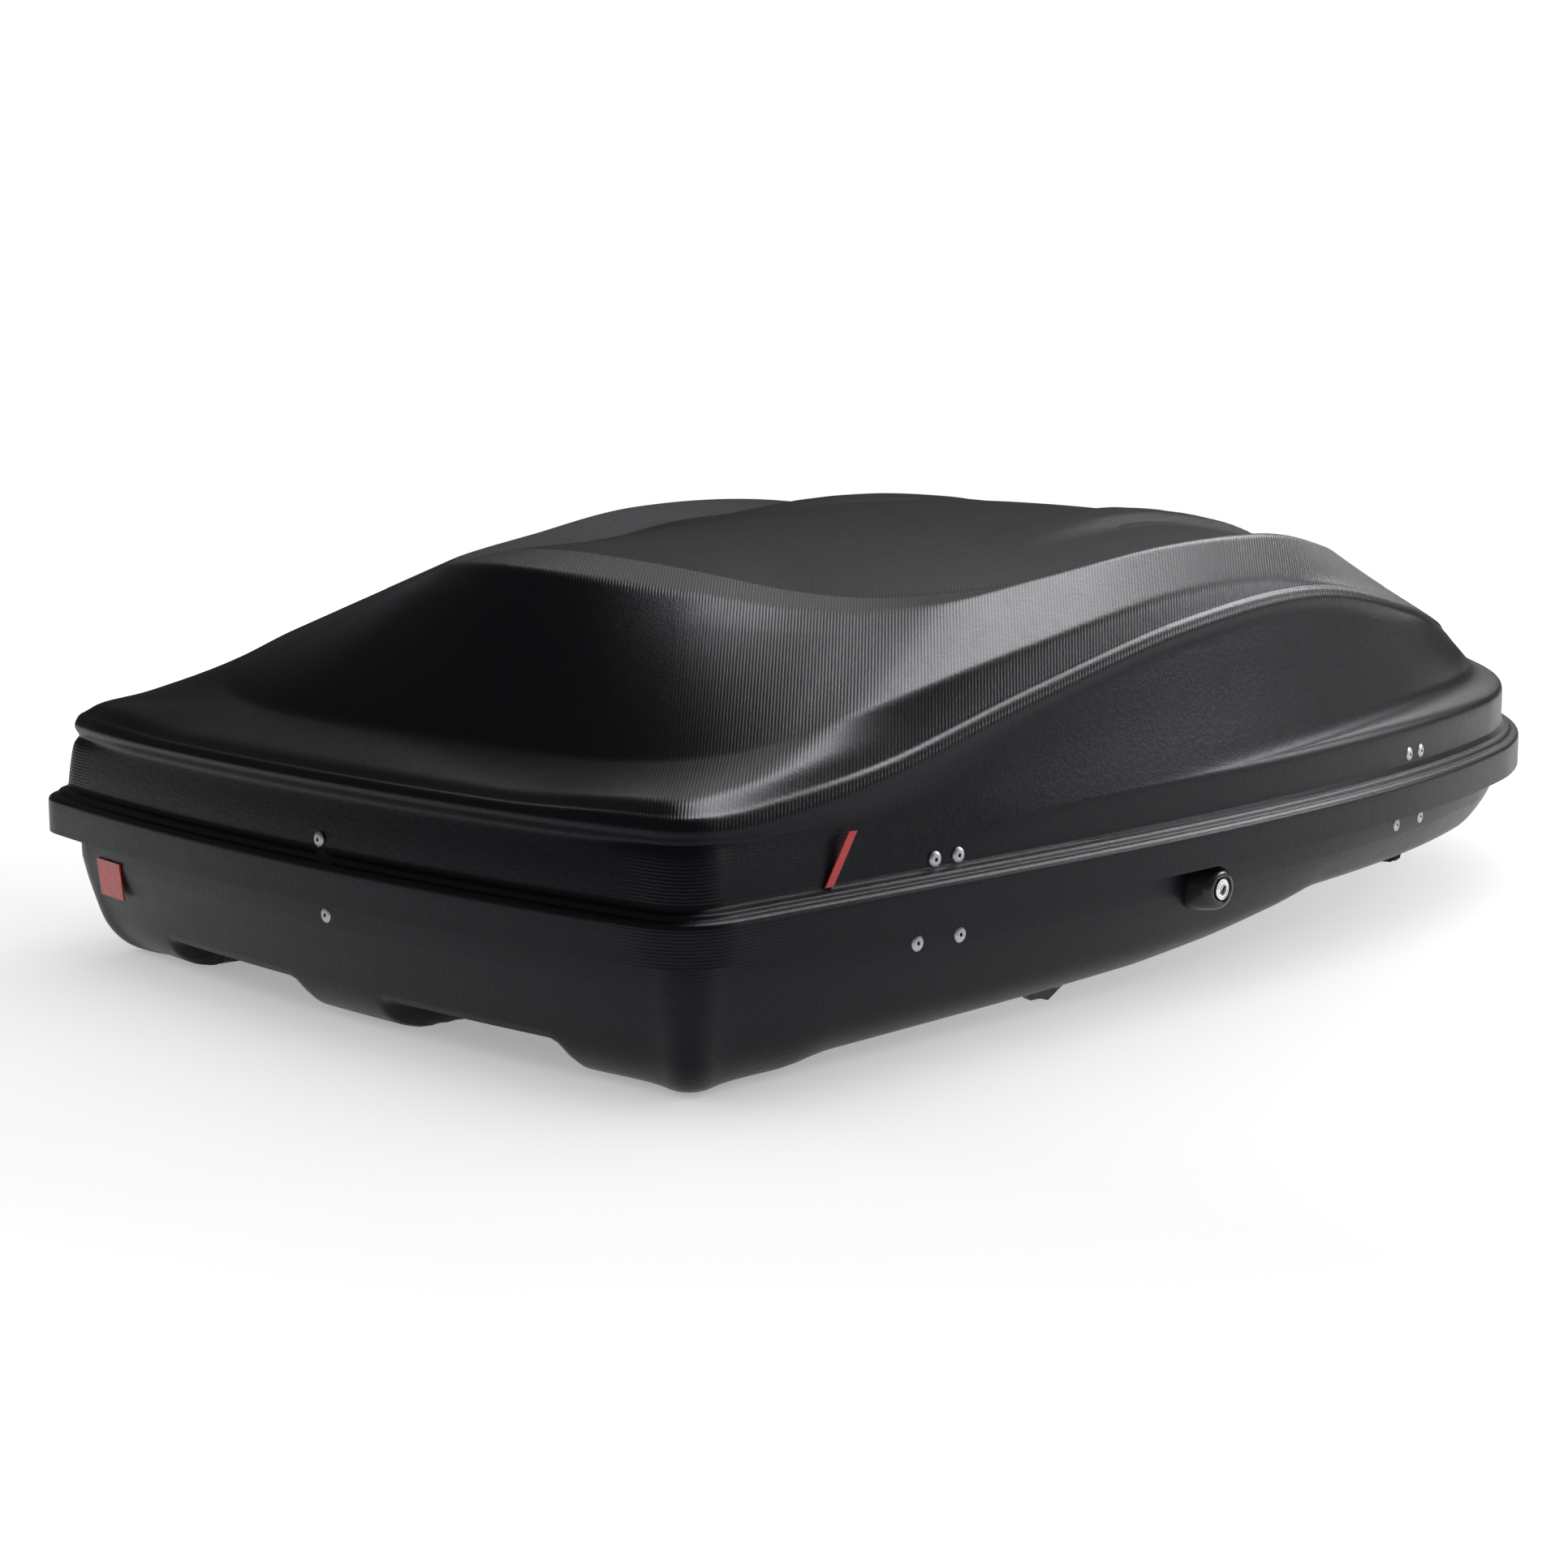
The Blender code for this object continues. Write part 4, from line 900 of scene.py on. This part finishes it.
def floor_material():
    """Pale matt floor with a painted glow: it gives off light of its own, growing lighter towards
    its edge and towards the front.
    """
    n = Nodes("floor_pale_painted_glow")
    mottle = n.noise(3, 3, 0.5)
    away = n.new("ShaderNodeVectorMath", operation="LENGTH")
    n.feed(away.inputs[0], n.place)
    ahead = n.new("ShaderNodeSeparateXYZ")
    n.feed(ahead.inputs[0], n.place)
    # painted glow: the floor's emission rises with distance from the middle and towards the front
    glow = n.math("ADD", n.ramp(away.outputs["Value"], 0.34, 0.85, 1.1, FLOOR_RADIUS - 0.1),
                  n.ramp(ahead.outputs["X"], 0.0, 0.32, -0.6, 0.6))
    n.feed(n.shader.inputs["Emission Color"], (1, 1, 1, 1))
    n.feed(n.shader.inputs["Emission Strength"], glow)
    return n.finish(color=n.mix(n.ramp(mottle, 0, 1), (0.84, 0.84, 0.84), (0.86, 0.86, 0.86)),
                    roughness=n.ramp(mottle, 0.85, 0.9), specular=0.1)


bm = bmesh.new()
bmesh.ops.create_circle(bm, cap_ends=True, segments=128, radius=FLOOR_RADIUS)
floor = place("floor", bm, floor_material())


def studio_world():
    """White room: even light on matt surfaces, a dim room with a pale far wall in reflections."""
    world = bpy.data.worlds.new("studio")
    world.use_nodes = True
    tree = world.node_tree
    new, link = tree.nodes.new, tree.links.new
    tree.nodes.remove(tree.nodes["Background"])

    def node(kind, *values, **settings):
        made = new(kind)
        for key, value in settings.items():
            setattr(made, key, value)
        for socket, value in zip(made.inputs, values):
            if isinstance(value, bpy.types.NodeSocket):
                link(value, socket)
            elif value is not None:
                socket.default_value = value
        return made.outputs[0]

    direction = new("ShaderNodeTexCoord").outputs["Generated"]
    height = new("ShaderNodeSeparateXYZ")
    link(direction, height.inputs[0])
    facing = new("ShaderNodeVectorMath")
    facing.operation = "DOT_PRODUCT"
    link(direction, facing.inputs[0])
    facing.inputs[1].default_value = FAR_WALL
    wall = node("ShaderNodeMapRange", facing.outputs["Value"], 0.60, 0.95, 0.0, 1.0,
                interpolation_type="SMOOTHSTEP")
    low = node("ShaderNodeMapRange", height.outputs["Z"], 0.20, 0.40, 1.0, 0.0,
               interpolation_type="SMOOTHSTEP")
    high = node("ShaderNodeMapRange", height.outputs["Z"], 0.02, 0.16, 0.0, 1.0,
                interpolation_type="SMOOTHSTEP")
    band = node("ShaderNodeMath", low, high, operation="MULTIPLY")
    glow = node("ShaderNodeMath", wall, band, operation="MULTIPLY")
    strength = node("ShaderNodeMath", glow, FAR_WALL_GLOW, ROOM_GLOW, operation="MULTIPLY_ADD")
    room = node("ShaderNodeBackground", (0.92, 0.95, 1.0, 1), strength)
    even = node("ShaderNodeBackground", (1, 1, 1, 1), EVEN_LIGHT)
    seen = node("ShaderNodeBackground", (1, 1, 1, 1), 1.0)
    path = new("ShaderNodeLightPath")
    lit = node("ShaderNodeMixShader", path.outputs["Is Diffuse Ray"], room, even)
    final = node("ShaderNodeMixShader", path.outputs["Is Camera Ray"], lit, seen)
    link(final, tree.nodes["World Output"].inputs[0])
    return world


scene.world = studio_world()


def softbox(name, centre, target, long_axis, size, power):
    """A rectangular light that only shows as a highlight; the room lights matt surfaces."""
    data = bpy.data.lights.new(name, "AREA")
    data.shape = "RECTANGLE"
    data.size, data.size_y = size
    data.energy = power
    light = bpy.data.objects.new(name, data)
    scene.collection.objects.link(light)
    back = (Vector(centre) - Vector(target)).normalized()
    side = Vector(long_axis)
    side = (side - side.dot(back) * back).normalized()
    turn = Matrix((side, back.cross(side), back)).transposed().to_4x4()
    light.matrix_world = Matrix.Translation(centre) @ turn
    light.visible_camera = False
    light.visible_diffuse = False


softbox("softbox_ribbon", (1.01, 0.01, 1.94), (0.0, -0.2, 0.3), (1.75, -0.55, -1.15),
        (2.3, 0.9), 94)
softbox("softbox_front", (2.0, -1.35, 1.0), (0.0, -0.3, 0.3), (0.5, -0.8, 0.0), (1.0, 0.6), 30)
softbox("softbox_nose", (2.4, 0.5, 0.85), (0.2, -0.3, 0.3), (-0.3, 0.9, 0.0), (1.0, 0.5), 2)
softbox("softbox_crescent", (0.95, 1.45, 1.60), (-0.4, 0.0, 0.35), (-0.8, 0.8, 0.0),
        (1.1, 0.7), 2.8)

scene.view_settings.view_transform = "Standard"
scene.view_settings.look = "None"
